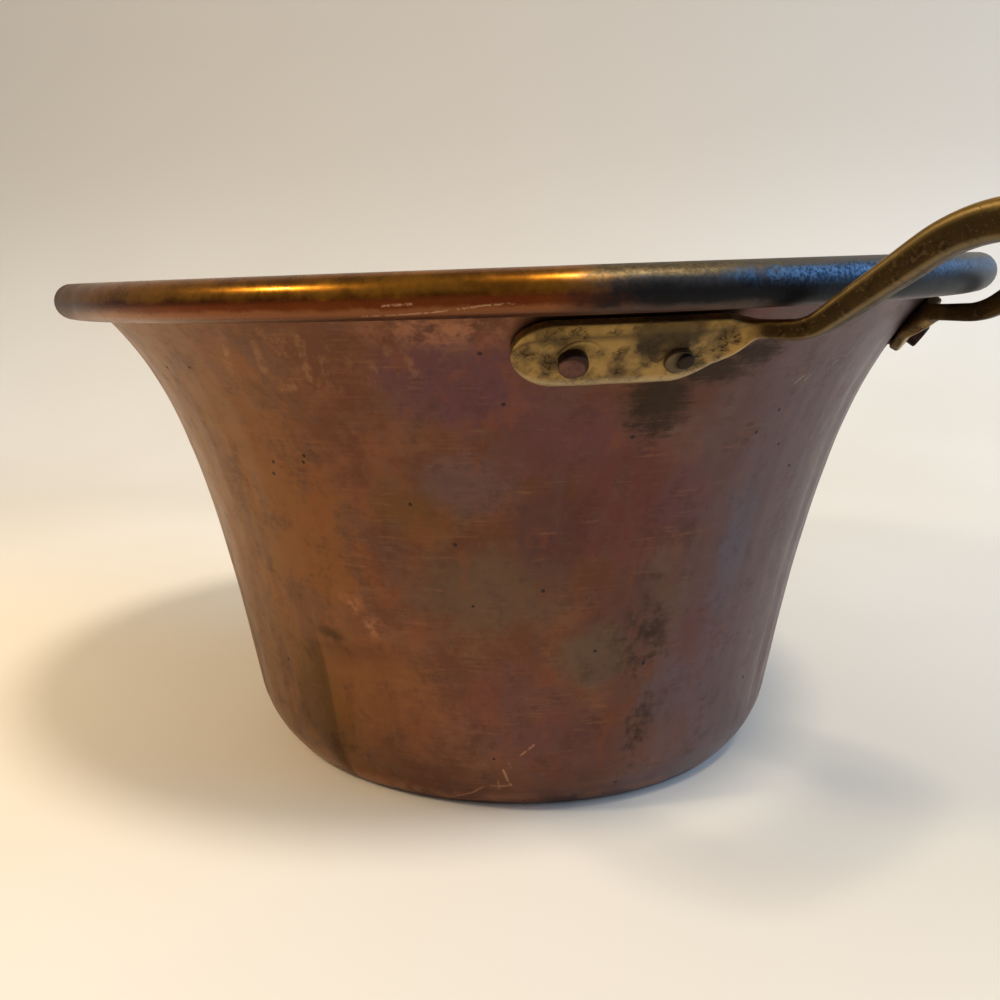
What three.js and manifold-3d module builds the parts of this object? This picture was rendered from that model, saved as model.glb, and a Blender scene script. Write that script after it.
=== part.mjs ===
// Copper polenta pot: a flared vessel raised from one sheet, its edge rolled outwards over an iron wire,
// with one brass loop handle whose two leaf-shaped pads are riveted to the wall under the rim.
// Millimetres, +Z up. The origin is the middle of the base, and the handle points along +X.
import * as THREE from "three";
import { mergeVertices } from "three/addons/utils/BufferGeometryUtils.js";
import Module from "manifold-3d";

const wasm = await Module();
wasm.setup();
const radians = THREE.MathUtils.degToRad;

// Sizes of the vessel
const rimRadius = 160; // over the outside of the rolled edge
const potHeight = 171; // from the base to the top of the rolled edge
const sheet = 1.6; // copper thickness
const baseFlatRadius = 83;
const toeRadius = 5; // outside, next to the base
const toeTurn = radians(45); // how far below level the sheet faces where toe meets heel
const heelRadius = 36; // outside, next to the wall
const footLean = radians(9.4); // wall from the vertical, just above the corner
const rimFlare = radians(40); // wall from the vertical, where it enters the roll
const footPull = 120; // how far the wall keeps the direction of its foot
const rimPull = 27; // how far the wall keeps the direction of its flare

// Sizes of the wired edge
const wireRadius = 3.9;
const wireClearance = 0.3;
const wireButtGap = 1; // between the two ends of the wire
const curlSweep = radians(300);

// Sizes of the handle
const armSpacing = 90; // between the middles of the two arms
const gripReach = 52; // middle of the grip beyond the rim
const gripBow = 5; // how far the middle of the grip stands out from its corners
const gripRise = 6.2; // middle of the grip above the rim
const riseAngle = radians(33.7); // slope of the arms outside the rim
const riseStart = 1.5; // foot of the slope, inside the outer edge of the rim
const neckDrop = 4.2; // neck below the underside of the roll, measured on the wall
const neckBend = 10; // plan radius between pad and arm
const neckHaste = 1.7; // above 1, the section becomes a bar before the bend ends
const neckHeight = 5;
const neckWidth = 5;
const gripHeight = 10.9;
const gripWidth = 10.5;
const footFillet = 5; // length rounded off each side of the foot of the slope
const crestFillet = 10;
const gripFillet = 22;

// Sizes of the pads
const padLength = 54.2; // along the wall, from the tip to the neck
const padDepth = 16.6; // upper edge to lower edge, measured upright
const padUnderRoll = 0.4; // upper edge below the underside of the roll, measured on the wall
const padThickness = 4;
const padClearance = 0.4; // to the wall
const padTipRound = 11.5; // length of the rounded tip
const padTipRise = 0.55; // height of the tip's point as a share of the depth
const padSweep = 25; // length over which the lower edge sweeps up to the neck
const sweepPastNeck = 14; // how much of that length lies beyond the pad
const padSquareness = 4; // 2 is an ellipse, higher is squarer
const barSquareness = 4.4;

// Sizes of the rivets
const rivetFromTip = 15.7; // first rivet from the tip of its pad
const rivetPitch = 28;
const outerRivetDrop = 8.8; // below the upper edge of the pad
const innerRivetDrop = 9.8;
const shankRadius = 2.5;
const shankClearance = 0.3;
const seatClearance = 0.5; // under each head
const setHeadRadius = 3.8; // hammered end, outside
const setHeadHeight = 2.8;
const peenedTipRadius = 2.2;
const headChamfer = 0.6;
const insideHeadRadius = 5.5;
const insideHeadHeight = 1.8;

// Fineness of the facets
const turnSteps = 60;
const toeSteps = 2;
const heelSteps = 4;
const wallSteps = 13;
const curlSteps = 12;
const wireSteps = 4; // to each half turn
const rivetSteps = 16;
const sectionSteps = 20;
const padSteps = 13;
const bendSteps = 5;
const armSteps = 20;

const finish = (colour, roughness, metalness) =>
  new THREE.MeshStandardMaterial({ color: colour, roughness, metalness });
const copper = () => finish(0x7d4a35, 0.4, 1);
const iron = () => finish(0x4a4440, 0.7, 0.8);
const brass = () => finish(0x8c7444, 0.45, 1);
const rivetCopper = () => finish(0x6b4632, 0.45, 1);

// Booleans between closed shapes
const solidOf = (geometry) => {
  const bare = geometry.clone();
  bare.deleteAttribute("normal");
  bare.deleteAttribute("uv");
  const merged = mergeVertices(bare);
  const corners = merged.index.array;
  const kept = [];
  for (let i = 0; i < corners.length; i += 3) {
    const [a, b, c] = [corners[i], corners[i + 1], corners[i + 2]];
    if (a !== b && b !== c && c !== a) kept.push(a, b, c);
  }
  const mesh = new wasm.Mesh({
    numProp: 3,
    vertProperties: merged.attributes.position.array,
    triVerts: Uint32Array.from(kept),
  });
  return new wasm.Manifold(mesh);
};
const geometryOf = (solid) => {
  const mesh = solid.getMesh();
  const geometry = new THREE.BufferGeometry();
  geometry.setAttribute("position", new THREE.BufferAttribute(mesh.vertProperties, 3));
  geometry.setIndex(new THREE.BufferAttribute(mesh.triVerts, 1));
  geometry.computeVertexNormals();
  return geometry;
};

// Middle line of the sheet, from the axis along the base, round the corner, up the wall and over the wire
const rollRadius = wireRadius + wireClearance + sheet;
const rollUnderside = potHeight - 2 * rollRadius;
const rollCentre = new THREE.Vector2(rimRadius - rollRadius, potHeight - rollRadius);
const leaning = (angle) => new THREE.Vector2(Math.sin(angle), Math.cos(angle));

const base = new THREE.LineCurve(
  new THREE.Vector2(0, sheet / 2),
  new THREE.Vector2(baseFlatRadius, sheet / 2),
);
const toe = new THREE.EllipseCurve(
  baseFlatRadius, toeRadius, toeRadius - sheet / 2, toeRadius - sheet / 2,
  -Math.PI / 2, -toeTurn, false, 0,
);
const heel = new THREE.EllipseCurve(
  baseFlatRadius + (toeRadius - heelRadius) * Math.cos(toeTurn),
  toeRadius - (toeRadius - heelRadius) * Math.sin(toeTurn),
  heelRadius - sheet / 2, heelRadius - sheet / 2, -toeTurn, -footLean, false, 0,
);
const curl = new THREE.EllipseCurve(
  rollCentre.x, rollCentre.y, rollRadius - sheet / 2, rollRadius - sheet / 2,
  Math.PI - rimFlare, Math.PI - rimFlare - curlSweep, true, 0,
);
const wallFoot = heel.getPoint(1);
const wallTop = curl.getPoint(0);
const wall = new THREE.CubicBezierCurve(
  wallFoot,
  wallFoot.clone().addScaledVector(leaning(footLean), footPull),
  wallTop.clone().addScaledVector(leaning(rimFlare), -rimPull),
  wallTop,
);

// A point of the middle line with the direction that leads out of the vessel
const sheetAt = (curve, t) => {
  const along = curve.getTangent(t);
  return { point: curve.getPoint(t), outward: new THREE.Vector2(along.y, -along.x) };
};
const faceOf = (station, offset) => station.point.clone().addScaledVector(station.outward, offset);

// The outer face of the wall at a height
const wallAt = (height) => {
  let low = 0;
  let high = 1;
  const halvings = 40;
  for (let i = 0; i < halvings; i++) {
    const middle = (low + high) / 2;
    if (faceOf(sheetAt(wall, middle), sheet / 2).y < height) low = middle;
    else high = middle;
  }
  const station = sheetAt(wall, low);
  return { face: faceOf(station, sheet / 2), outward: station.outward };
};

// A point off the outer face of the wall, at a height and an angle round the axis
const offWall = (height, angle, distance) => {
  const { face, outward } = wallAt(height);
  const place = face.clone().addScaledVector(outward, distance);
  return new THREE.Vector3(place.x * Math.cos(angle), place.x * Math.sin(angle), place.y);
};

const turned = (profile, steps) => new THREE.LatheGeometry(profile, steps).rotateX(Math.PI / 2);

// Vessel: base, wall and rolled edge are one sheet
const vesselGeometry = () => {
  const stations = [sheetAt(base, 0)];
  const take = (curve, steps) => {
    for (let i = 1; i <= steps; i++) stations.push(sheetAt(curve, i / steps));
  };
  take(base, 1);
  take(toe, toeSteps);
  take(heel, heelSteps);
  take(wall, wallSteps);
  take(curl, curlSteps);
  const outer = stations.map((station) => faceOf(station, sheet / 2));
  const inner = stations.map((station) => faceOf(station, -sheet / 2)).reverse();
  return turned([...outer, ...inner], turnSteps);
};

// Iron wire lying inside the roll
const wireGeometry = () => {
  const halfGap = wireButtGap / 2 / rollCentre.x;
  const path = new THREE.EllipseCurve(
    0, 0, rollCentre.x, rollCentre.x, halfGap, 2 * Math.PI - halfGap, false, 0,
  );
  const points = path.getPoints(turnSteps).map((p) => new THREE.Vector3(p.x, p.y, rollCentre.y));
  const section = new THREE.Shape().absarc(0, 0, wireRadius, 0, 2 * Math.PI, false);
  return new THREE.ExtrudeGeometry(section, {
    steps: turnSteps,
    curveSegments: wireSteps,
    extrudePath: new THREE.CatmullRomCurve3(points),
  });
};

// Round the handle's section goes a squared ellipse: across is the bar's width, upright its height
const squared = (value, squareness) => Math.sign(value) * Math.abs(value) ** (2 / squareness);
const sectionOf = (squareness) =>
  Array.from({ length: sectionSteps }, (_, i) => {
    const angle = (2 * Math.PI * i) / sectionSteps;
    return {
      across: squared(Math.cos(angle), squareness),
      upright: squared(Math.sin(angle), squareness),
    };
  });
const smooth = (share) => THREE.MathUtils.smoothstep(share, 0, 1);
const mix = THREE.MathUtils.lerp;

// Where the handle leaves the wall
const neckLevel = rollUnderside - neckDrop;
const neckFromWall = padClearance + padThickness / 2;
const neck = wallAt(neckLevel);
const neckPlace = neck.face.clone().addScaledVector(neck.outward, neckFromWall);
const neckTilt = Math.atan2(-neck.outward.y, neck.outward.x);
const armSide = armSpacing / 2;
const neckAngle = Math.asin((armSide + neckBend) / (neckPlace.x + neckBend));
const padTop = rollUnderside - padUnderRoll;
const padBottom = padTop - padDepth;
const padTipLevel = padBottom + padDepth * padTipRise;
const angleFromTip = (distance) => neckAngle + (padLength - distance) / neckPlace.x;

// Heights of the pad's two edges at a distance from its tip
const padEdges = (distance) => {
  const inTip = Math.min(distance / padTipRound, 1);
  const open = Math.sqrt(1 - (1 - inTip) ** 2);
  const neckBottom = neckLevel - neckHeight / 2;
  const swept = smooth((distance - padLength - sweepPastNeck) / padSweep + 1);
  return {
    upper: mix(padTipLevel, padTop, open),
    lower: mix(mix(padTipLevel, padBottom, open), neckBottom, swept),
  };
};
const padRing = (distance) => {
  const { upper, lower } = padEdges(distance);
  return sectionOf(padSquareness).map(({ across, upright }) =>
    offWall(
      mix(lower, upper, (1 + upright) / 2),
      angleFromTip(distance),
      padClearance + (padThickness * (1 + across)) / 2,
    ),
  );
};

// A place on the bar with the directions across its width and up its height
const bendPlace = (share) => {
  const facing = mix(neckAngle, Math.PI / 2, share);
  const tilt = neckTilt * (1 - smooth(share));
  const centreDistance = neckPlace.x + neckBend;
  const heading = new THREE.Vector3(Math.cos(facing), Math.sin(facing), 0);
  const up = new THREE.Vector3(0, 0, 1);
  return {
    centre: new THREE.Vector3(
      centreDistance * Math.cos(neckAngle) - neckBend * heading.x,
      centreDistance * Math.sin(neckAngle) - neckBend * heading.y,
      neckPlace.y,
    ),
    across: heading.clone().multiplyScalar(Math.cos(tilt)).addScaledVector(up, -Math.sin(tilt)),
    upright: heading.clone().multiplyScalar(Math.sin(tilt)).addScaledVector(up, Math.cos(tilt)),
  };
};
const ringAt = (place, section) =>
  section.map(({ across, upright }) =>
    place.centre.clone().addScaledVector(place.across, across).addScaledVector(place.upright, upright),
  );
const barSection = (width, height) =>
  sectionOf(barSquareness).map(({ across, upright }) => ({
    across: (across * width) / 2,
    upright: (upright * height) / 2,
  }));

// Middle line of an arm: under the roll, up the slope, level to the grip and round to its middle
const armCurve = () => {
  const start = bendPlace(1).centre;
  const gripLevel = potHeight + gripRise;
  const footReach = Math.sqrt(rimRadius ** 2 - armSide ** 2) - riseStart;
  const crestReach = footReach + (gripLevel - start.z) / Math.tan(riseAngle);
  const knots = [
    start,
    new THREE.Vector3(footReach, armSide, start.z),
    new THREE.Vector3(crestReach, armSide, gripLevel),
    new THREE.Vector3(rimRadius + gripReach - gripBow, armSide, gripLevel),
    new THREE.Vector3(rimRadius + gripReach, 0, gripLevel),
  ];
  const fillets = [footFillet, crestFillet, gripFillet];
  const path = new THREE.CurvePath();
  let from = start;
  fillets.forEach((fillet, i) => {
    const [before, knot, after] = knots.slice(i, i + 3);
    const enter = knot.clone().lerp(before, Math.min(fillet / knot.distanceTo(before), 1 / 2));
    const leave = knot.clone().lerp(after, Math.min(fillet / knot.distanceTo(after), 1 / 2));
    path.add(new THREE.LineCurve3(from, enter));
    path.add(new THREE.QuadraticBezierCurve3(enter, knot, leave));
    from = leave;
  });
  path.add(new THREE.LineCurve3(from, knots.at(-1)));
  return path;
};

// One half of the handle as a row of rings, from the tip of its pad to the middle of the grip
const halfRings = () => {
  const rings = [];
  const tipStep = 0.3; // first ring's distance from the very tip
  for (let i = 0; i <= padSteps; i++) {
    const share = (1 - Math.cos((Math.PI * i) / padSteps)) / 2;
    rings.push(padRing(mix(tipStep, padLength, share)));
  }
  const seam = bendPlace(0);
  const padSection = rings[padSteps].map((point) => {
    const offset = point.clone().sub(seam.centre);
    return { across: offset.dot(seam.across), upright: offset.dot(seam.upright) };
  });
  const neckSection = barSection(neckWidth, neckHeight);
  for (let i = 1; i <= bendSteps; i++) {
    const share = i / bendSteps;
    const section = padSection.map((point, j) => ({
      across: mix(point.across, neckSection[j].across, smooth(share * neckHaste)),
      upright: mix(point.upright, neckSection[j].upright, smooth(share * neckHaste)),
    }));
    rings.push(ringAt(bendPlace(share), section));
  }
  const path = armCurve();
  const up = new THREE.Vector3(0, 0, 1);
  for (let i = 1; i <= armSteps; i++) {
    const share = i / armSteps;
    const along = path.getTangentAt(share);
    const upright = up.clone().addScaledVector(along, -up.dot(along)).normalize();
    const place = {
      centre: path.getPointAt(share),
      across: new THREE.Vector3().crossVectors(upright, along),
      upright,
    };
    const swell = Math.sin((share * Math.PI) / 2);
    const section = barSection(mix(neckWidth, gripWidth, swell), mix(neckHeight, gripHeight, swell));
    rings.push(ringAt(place, section));
  }
  return rings;
};

// Rings joined in a row, with a fan over each end
const loft = (rings) => {
  const middleOf = (ring) =>
    ring.reduce((sum, point) => sum.add(point), new THREE.Vector3()).divideScalar(ring.length);
  const points = [...rings.flat(), middleOf(rings[0]), middleOf(rings.at(-1))];
  const faces = [];
  const at = (ring, i) => ring * sectionSteps + (i % sectionSteps);
  const first = rings.length * sectionSteps;
  for (let i = 0; i < sectionSteps; i++) {
    for (let ring = 0; ring + 1 < rings.length; ring++) {
      faces.push(at(ring, i), at(ring + 1, i + 1), at(ring + 1, i));
      faces.push(at(ring, i), at(ring, i + 1), at(ring + 1, i + 1));
    }
    faces.push(first, at(0, i + 1), at(0, i));
    faces.push(first + 1, at(rings.length - 1, i), at(rings.length - 1, i + 1));
  }
  return new THREE.BufferGeometry().setFromPoints(points).setIndex(faces);
};
const handleGeometry = () => {
  const half = halfRings();
  const mirrored = half
    .slice(0, -1)
    .reverse()
    .map((ring) => ring.map((point) => new THREE.Vector3(point.x, -point.y, point.z)));
  return loft([...half, ...mirrored]);
};

// Rivets: a head inside the vessel, a shank through wall and pad, and a hammered head outside
const outerSpot = { distance: rivetFromTip, level: padTop - outerRivetDrop };
const innerSpot = { distance: rivetFromTip + rivetPitch, level: padTop - innerRivetDrop };
const rivetSpots = [
  { name: "rivet_near_outer", ...outerSpot, side: -1, peened: false },
  { name: "rivet_near_inner", ...innerSpot, side: -1, peened: true },
  { name: "rivet_far_inner", ...innerSpot, side: 1, peened: false },
  { name: "rivet_far_outer", ...outerSpot, side: 1, peened: false },
];
const atSpot = (object, { distance, level, side }) => {
  const angle = side * angleFromTip(distance);
  const { outward } = wallAt(level);
  const axis = new THREE.Vector3(outward.x * Math.cos(angle), outward.x * Math.sin(angle), outward.y);
  object.position.copy(offWall(level, angle, 0));
  object.quaternion.setFromUnitVectors(new THREE.Vector3(0, 1, 0), axis);
  object.updateMatrixWorld(true);
  return object;
};
const rivetGeometry = (peened) => {
  const insideSeat = -sheet - seatClearance;
  const outsideSeat = padClearance + padThickness + seatClearance;
  const top = outsideSeat + setHeadHeight;
  const half = outsideSeat + setHeadHeight / 2;
  const hammered = peened
    ? [[setHeadRadius, half - headChamfer], [setHeadRadius - headChamfer, half],
       [peenedTipRadius, half], [peenedTipRadius - headChamfer, top]]
    : [[setHeadRadius, top - headChamfer], [setHeadRadius - headChamfer, top]];
  const outline = [
    [0, insideSeat - insideHeadHeight],
    [insideHeadRadius - headChamfer, insideSeat - insideHeadHeight],
    [insideHeadRadius, insideSeat - headChamfer],
    [insideHeadRadius, insideSeat],
    [shankRadius, insideSeat],
    [shankRadius, outsideSeat],
    [setHeadRadius, outsideSeat],
    ...hammered,
    [0, top],
  ];
  return new THREE.LatheGeometry(outline.map(([r, y]) => new THREE.Vector2(r, y)), rivetSteps);
};
const shankHole = (spot) => {
  const holeRadius = shankRadius + shankClearance;
  const drillLength = 4 * (sheet + padThickness);
  const drill = new THREE.Mesh(new THREE.CylinderGeometry(holeRadius, holeRadius, drillLength, rivetSteps));
  return solidOf(drill.geometry.applyMatrix4(atSpot(drill, spot).matrixWorld));
};
const drilled = (geometry) =>
  geometryOf(rivetSpots.reduce((solid, spot) => solid.subtract(shankHole(spot)), solidOf(geometry)));

const pot = new THREE.Group();
const place = (name, geometry, material) => {
  const mesh = new THREE.Mesh(geometry, material);
  mesh.name = name;
  pot.add(mesh);
  return mesh;
};
place("pot_body", drilled(vesselGeometry()), copper());
place("rim_wire", wireGeometry(), iron());
place("loop_handle", drilled(handleGeometry()), brass());
rivetSpots.forEach((spot) => atSpot(place(spot.name, rivetGeometry(spot.peened), rivetCopper()), spot));

export default pot;
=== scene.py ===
# Looks of the copper polenta pot. Metres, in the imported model's own frame.
import math
import bpy
import numpy as np
from mathutils import Matrix, Vector, noise


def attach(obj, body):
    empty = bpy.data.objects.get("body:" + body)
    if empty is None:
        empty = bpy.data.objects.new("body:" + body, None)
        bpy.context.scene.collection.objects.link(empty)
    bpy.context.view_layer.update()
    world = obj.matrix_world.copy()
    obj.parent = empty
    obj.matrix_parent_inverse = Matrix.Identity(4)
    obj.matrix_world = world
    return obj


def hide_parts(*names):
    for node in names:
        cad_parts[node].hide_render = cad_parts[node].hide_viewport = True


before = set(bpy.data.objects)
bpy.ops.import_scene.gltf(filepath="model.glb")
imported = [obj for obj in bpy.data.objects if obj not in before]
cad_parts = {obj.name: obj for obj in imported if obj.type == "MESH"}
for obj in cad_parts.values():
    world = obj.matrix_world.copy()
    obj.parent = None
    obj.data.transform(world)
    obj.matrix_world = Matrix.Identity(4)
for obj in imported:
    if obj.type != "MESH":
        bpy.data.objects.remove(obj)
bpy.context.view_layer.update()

MM = 0.001

# Sizes of the vessel, as in the solid model, with the roll a hair smaller so that round stays inside faceted
SHEET = 1.6 * MM
RIM_RADIUS = 159.8 * MM
POT_HEIGHT = 170.9 * MM
ROLL_RADIUS = 5.75 * MM
BASE_FLAT_RADIUS = 83 * MM
TOE_RADIUS = 5 * MM
TOE_TURN = math.radians(45)
HEEL_RADIUS = 36 * MM
FOOT_LEAN = math.radians(9.4)
RIM_FLARE = math.radians(40)
FOOT_PULL = 120 * MM
RIM_PULL = 27 * MM
CURL_SWEEP = math.radians(300)
ROLL_UNDERSIDE = POT_HEIGHT - 2 * ROLL_RADIUS
BASE_ROWS = 13
TOE_STEPS = 8
HEEL_STEPS = 16
CURL_STEPS = 40
WALL_ROWS = 80
FACE_ROWS = 400

# Sizes of the handle. The foot of its slope is set out from the solid model's rim
SOLID_RIM_RADIUS = 160 * MM
ARM_SIDE = 45 * MM
GRIP_REACH = 212 * MM
GRIP_LEVEL = 177.2 * MM
GRIP_BOW = 5 * MM
RISE_ANGLE = math.radians(33.7)
RISE_START = 1.5 * MM
NECK_DROP = 4.2 * MM
NECK_BEND = 10 * MM
NECK_HASTE = 1.25
NECK_START = 0.95
NECK_HEIGHT = 5 * MM
NECK_WIDTH = 5 * MM
GRIP_HEIGHT = 10.8 * MM
GRIP_WIDTH = 10.4 * MM
ARM_FILLETS = (5 * MM, 10 * MM, 22 * MM)
PAD_LENGTH = 54.2 * MM
PAD_DEPTH = 16.6 * MM
PAD_UNDER_ROLL = 0.4 * MM
PAD_THICKNESS = 4 * MM
PAD_CLEARANCE = 0.2 * MM
PAD_TIP_ROUND = 11.5 * MM
PAD_TIP_RISE = 0.55
PAD_SWEEP = 25 * MM
SWEEP_PAST_NECK = 14 * MM
PAD_SQUARENESS = 5.0
BAR_SQUARENESS = 3.8
SECTION_STEPS = 12  # to each of the four sides
PAD_STEPS = 70
BEND_STEPS = 22
ARM_STEPS = 110
FILLET_STEPS = 40
TIP_STEP = 0.05 * MM
FORGED_FINENESS = 90.0
FORGED_DEPTH = 0.25 * MM

# Sizes of the rivets
RIVET_FROM_TIP = 15.7 * MM
RIVET_PITCH = 28 * MM
OUTER_RIVET_DROP = 8.8 * MM
INNER_RIVET_DROP = 9.8 * MM
SHANK_RADIUS = 2.5 * MM
SET_HEAD_RADIUS = 3.8 * MM
SET_HEAD_HEIGHT = 3.1 * MM
INSIDE_HEAD_RADIUS = 5.5 * MM
INSIDE_HEAD_HEIGHT = 2 * MM
HEAD_SINK = 0.4 * MM  # underside of the head, below the face of the pad
TAIL_BITE = 0.1 * MM  # how far the inside head is set into the sheet
COLLAR_SHARE = 0.55  # height of the peened collar as a share of the head
RIVET_FINENESS = 0.45 * MM
TIP_SHIFT = (1.1 * MM, 0.9 * MM)  # of the peened tip off the rivet's axis, sideways and up the wall
TIP_LEAN_START = 0.3 * MM  # below the collar
TIP_LEAN_RUN = 0.8 * MM
TIP_STAIN_RISE = 0.8 * MM
BRIGHT_SHIFT = (0.8 * MM, 1.0 * MM)  # of the outer head's bright side, to the tip and down

# Relief that the turning group gives the vessel and the rivets
VESSEL_RELIEF = {
    "Steps Around": 400, "Blow Size": 13 * MM, "Blow Depth": 0.3 * MM, "Blows From": 12 * MM,
    "Blows To": 158 * MM, "Blows Fade": 12 * MM, "Out Of Round": 1.6 * MM, "Flute Depth": 1.0 * MM,
    "Seed": 3.0,
}
RIVET_RELIEF = {
    "Steps Around": 40, "Blow Size": 2.2 * MM, "Blow Depth": 0.22 * MM, "Blows From": -10 * MM,
    "Blows To": 20 * MM, "Blows Fade": 1 * MM,
}

# A dent low on the left: a sharp fold, a flat beyond it that dies away to the right. Degrees and millimetres
DENT_FOOT = (-37.2, 2.0)
DENT_HEAD = (-36.3, 58.6)
DENT_REACH = 13 * MM
DENT_DEPTH = 2.2 * MM
DENT_CROWN = 9
DENT_FROM_RADIUS = 85 * MM

# The camera stands at this angle from the handle, and marks are placed by their angle from the camera's side
VIEW_ANGLE = math.radians(-44)

# Camera, fitted to the pot's outline. Metres, lens and sensor in mm, and the shift as a share of the frame
CAMERA_DISTANCE = 0.4101
CAMERA_HEIGHT = 0.1698
CAMERA_PITCH = math.radians(11.73)
CAMERA_YAW = math.radians(-7.03)
CAMERA_ROLL = math.radians(-2.0)
LENS = 38.7
SENSOR = 36.0
FRAME_SHIFT = 0.126
CLIP_START = 0.01

# Floor and backdrop, in metres: from the axis along the line of sight, then up and across
FLOOR_FRONT = -2.2
SWEEP_START = 0.45
SWEEP_RADIUS = 0.45
SWEEP_STEPS = 24
BACKDROP_TOP = 2.2
FLOOR_HALF_WIDTH = 3.0
FLOOR_DROP = 0.0001
# Heights over which the backdrop's painted shade sets in
BACKDROP_FADE = (0.02, 0.35)

# Lamps: degrees right of the camera, elevation, distance, width, watts, colour, and if the metal mirrors it
LAMPS = (
    ("ceiling", 43, 66, 4.5, 0.95, 108.0, (1.0, 0.89, 0.73), True),
    ("room_lamp", -56, 42, 0.95, 0.100, 1.9, (1.0, 0.86, 0.62), True),
    ("room_glow", -80, 27, 0.62, 0.45, 1.5, (1.0, 0.66, 0.28), False),
    ("sky", 84, 20, 1.9, 1.75, 27.0, (0.36, 0.62, 1.0), True),
)
ROOM_COLOUR = (0.96, 0.97, 1.0, 1.0)
ROOM_STRENGTH = 0.25


def smooth(share):
    share = np.clip(share, 0.0, 1.0)
    return share * share * (3 - 2 * share)


def eased(share):
    """From 0 to 1, setting out at the slope that the pad's lower edge has there."""
    share = min(share, 1.0)
    return (share**3 - 2 * share**2 + share) * NECK_START + smooth(share)


def mix(low, high, share):
    return low + (high - low) * share


# The sheet's middle line: rows of radius, height, and the direction that leads out of the vessel
def arc(centre, radius, start, end, steps):
    angle = np.linspace(start, end, steps + 1)
    ring = np.stack([np.cos(angle), np.sin(angle)], -1)
    return np.concatenate([np.array(centre) + radius * ring, ring], -1)


def leaning(angle):
    return np.array([math.sin(angle), math.cos(angle)])


ROLL_CENTRE = np.array([RIM_RADIUS - ROLL_RADIUS, POT_HEIGHT - ROLL_RADIUS])
TOE = arc((BASE_FLAT_RADIUS, TOE_RADIUS), TOE_RADIUS - SHEET / 2, -math.pi / 2, -TOE_TURN, TOE_STEPS)
HEEL_CENTRE = (
    BASE_FLAT_RADIUS + (TOE_RADIUS - HEEL_RADIUS) * math.cos(TOE_TURN),
    TOE_RADIUS - (TOE_RADIUS - HEEL_RADIUS) * math.sin(TOE_TURN),
)
HEEL = arc(HEEL_CENTRE, HEEL_RADIUS - SHEET / 2, -TOE_TURN, -FOOT_LEAN, HEEL_STEPS)
CURL_START = math.pi - RIM_FLARE
CURL = arc(ROLL_CENTRE, ROLL_RADIUS - SHEET / 2, CURL_START, CURL_START - CURL_SWEEP, CURL_STEPS)
CURL[:, 2:] *= -1
WALL_FOOT = HEEL[-1, :2]
WALL_TOP = CURL[0, :2]


def wall_rows(shares):
    a, d = WALL_FOOT, WALL_TOP
    b = a + FOOT_PULL * leaning(FOOT_LEAN)
    c = d - RIM_PULL * leaning(RIM_FLARE)
    t = np.asarray(shares, dtype=float)[:, None]
    place = (1 - t) ** 3 * a + 3 * (1 - t) ** 2 * t * b + 3 * (1 - t) * t**2 * c + t**3 * d
    along = 3 * (1 - t) ** 2 * (b - a) + 6 * (1 - t) * t * (c - b) + 3 * t**2 * (d - c)
    along /= np.linalg.norm(along, axis=1)[:, None]
    return np.concatenate([place, along[:, 1:], -along[:, :1]], -1)


WALL = np.concatenate([TOE, HEEL[1:], wall_rows(np.linspace(0, 1, FACE_ROWS + 1))[1:]])
WALL_FACE = WALL[:, :2] + WALL[:, 2:] * SHEET / 2


def wall_at(height):
    """Radius of the outer face at a height, and its outward direction."""
    radius = np.interp(height, WALL_FACE[:, 1], WALL_FACE[:, 0])
    across = np.interp(height, WALL_FACE[:, 1], WALL[:, 2])
    upward = np.interp(height, WALL_FACE[:, 1], WALL[:, 3])
    return radius, across, upward


def off_wall(height, angle, distance):
    """Points off the outer face at heights and angles round the axis."""
    radius, across, upward = wall_at(height)
    reach = radius + across * distance
    rise = np.asarray(height) + upward * distance
    return np.stack([reach * np.cos(angle), reach * np.sin(angle), rise], -1)


def wall_mark(from_view, height):
    """A place on the wall by its degrees to the right of the camera's side and its height in millimetres."""
    return tuple(off_wall(height * MM, VIEW_ANGLE + math.radians(from_view), 0.0))


def roll_mark(from_view, rise):
    """A place on the roll's outer side by degrees from the camera's side and millimetres of rise."""
    angle = VIEW_ANGLE + math.radians(from_view)
    lift = rise * MM - ROLL_RADIUS
    reach = ROLL_CENTRE[0] + math.sqrt(ROLL_RADIUS**2 - lift**2)
    return (reach * math.cos(angle), reach * math.sin(angle), ROLL_CENTRE[1] + lift)


# Arithmetic on node sockets, so that fields and shaders read as formulas
class Num:
    def __init__(self, graph, socket):
        self.graph = graph
        self.socket = socket

    def __add__(self, other):
        return self.graph.maths("ADD", self, other)

    def __radd__(self, other):
        return self.graph.maths("ADD", other, self)

    def __sub__(self, other):
        return self.graph.maths("SUBTRACT", self, other)

    def __rsub__(self, other):
        return self.graph.maths("SUBTRACT", other, self)

    def __mul__(self, other):
        return self.graph.maths("MULTIPLY", self, other)

    def __rmul__(self, other):
        return self.graph.maths("MULTIPLY", other, self)

    def __truediv__(self, other):
        return self.graph.maths("DIVIDE", self, other)

    def __rtruediv__(self, other):
        return self.graph.maths("DIVIDE", other, self)

    def __pow__(self, other):
        return self.graph.maths("POWER", self, other)

    def __neg__(self):
        return self.graph.maths("MULTIPLY", self, -1.0)


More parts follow.
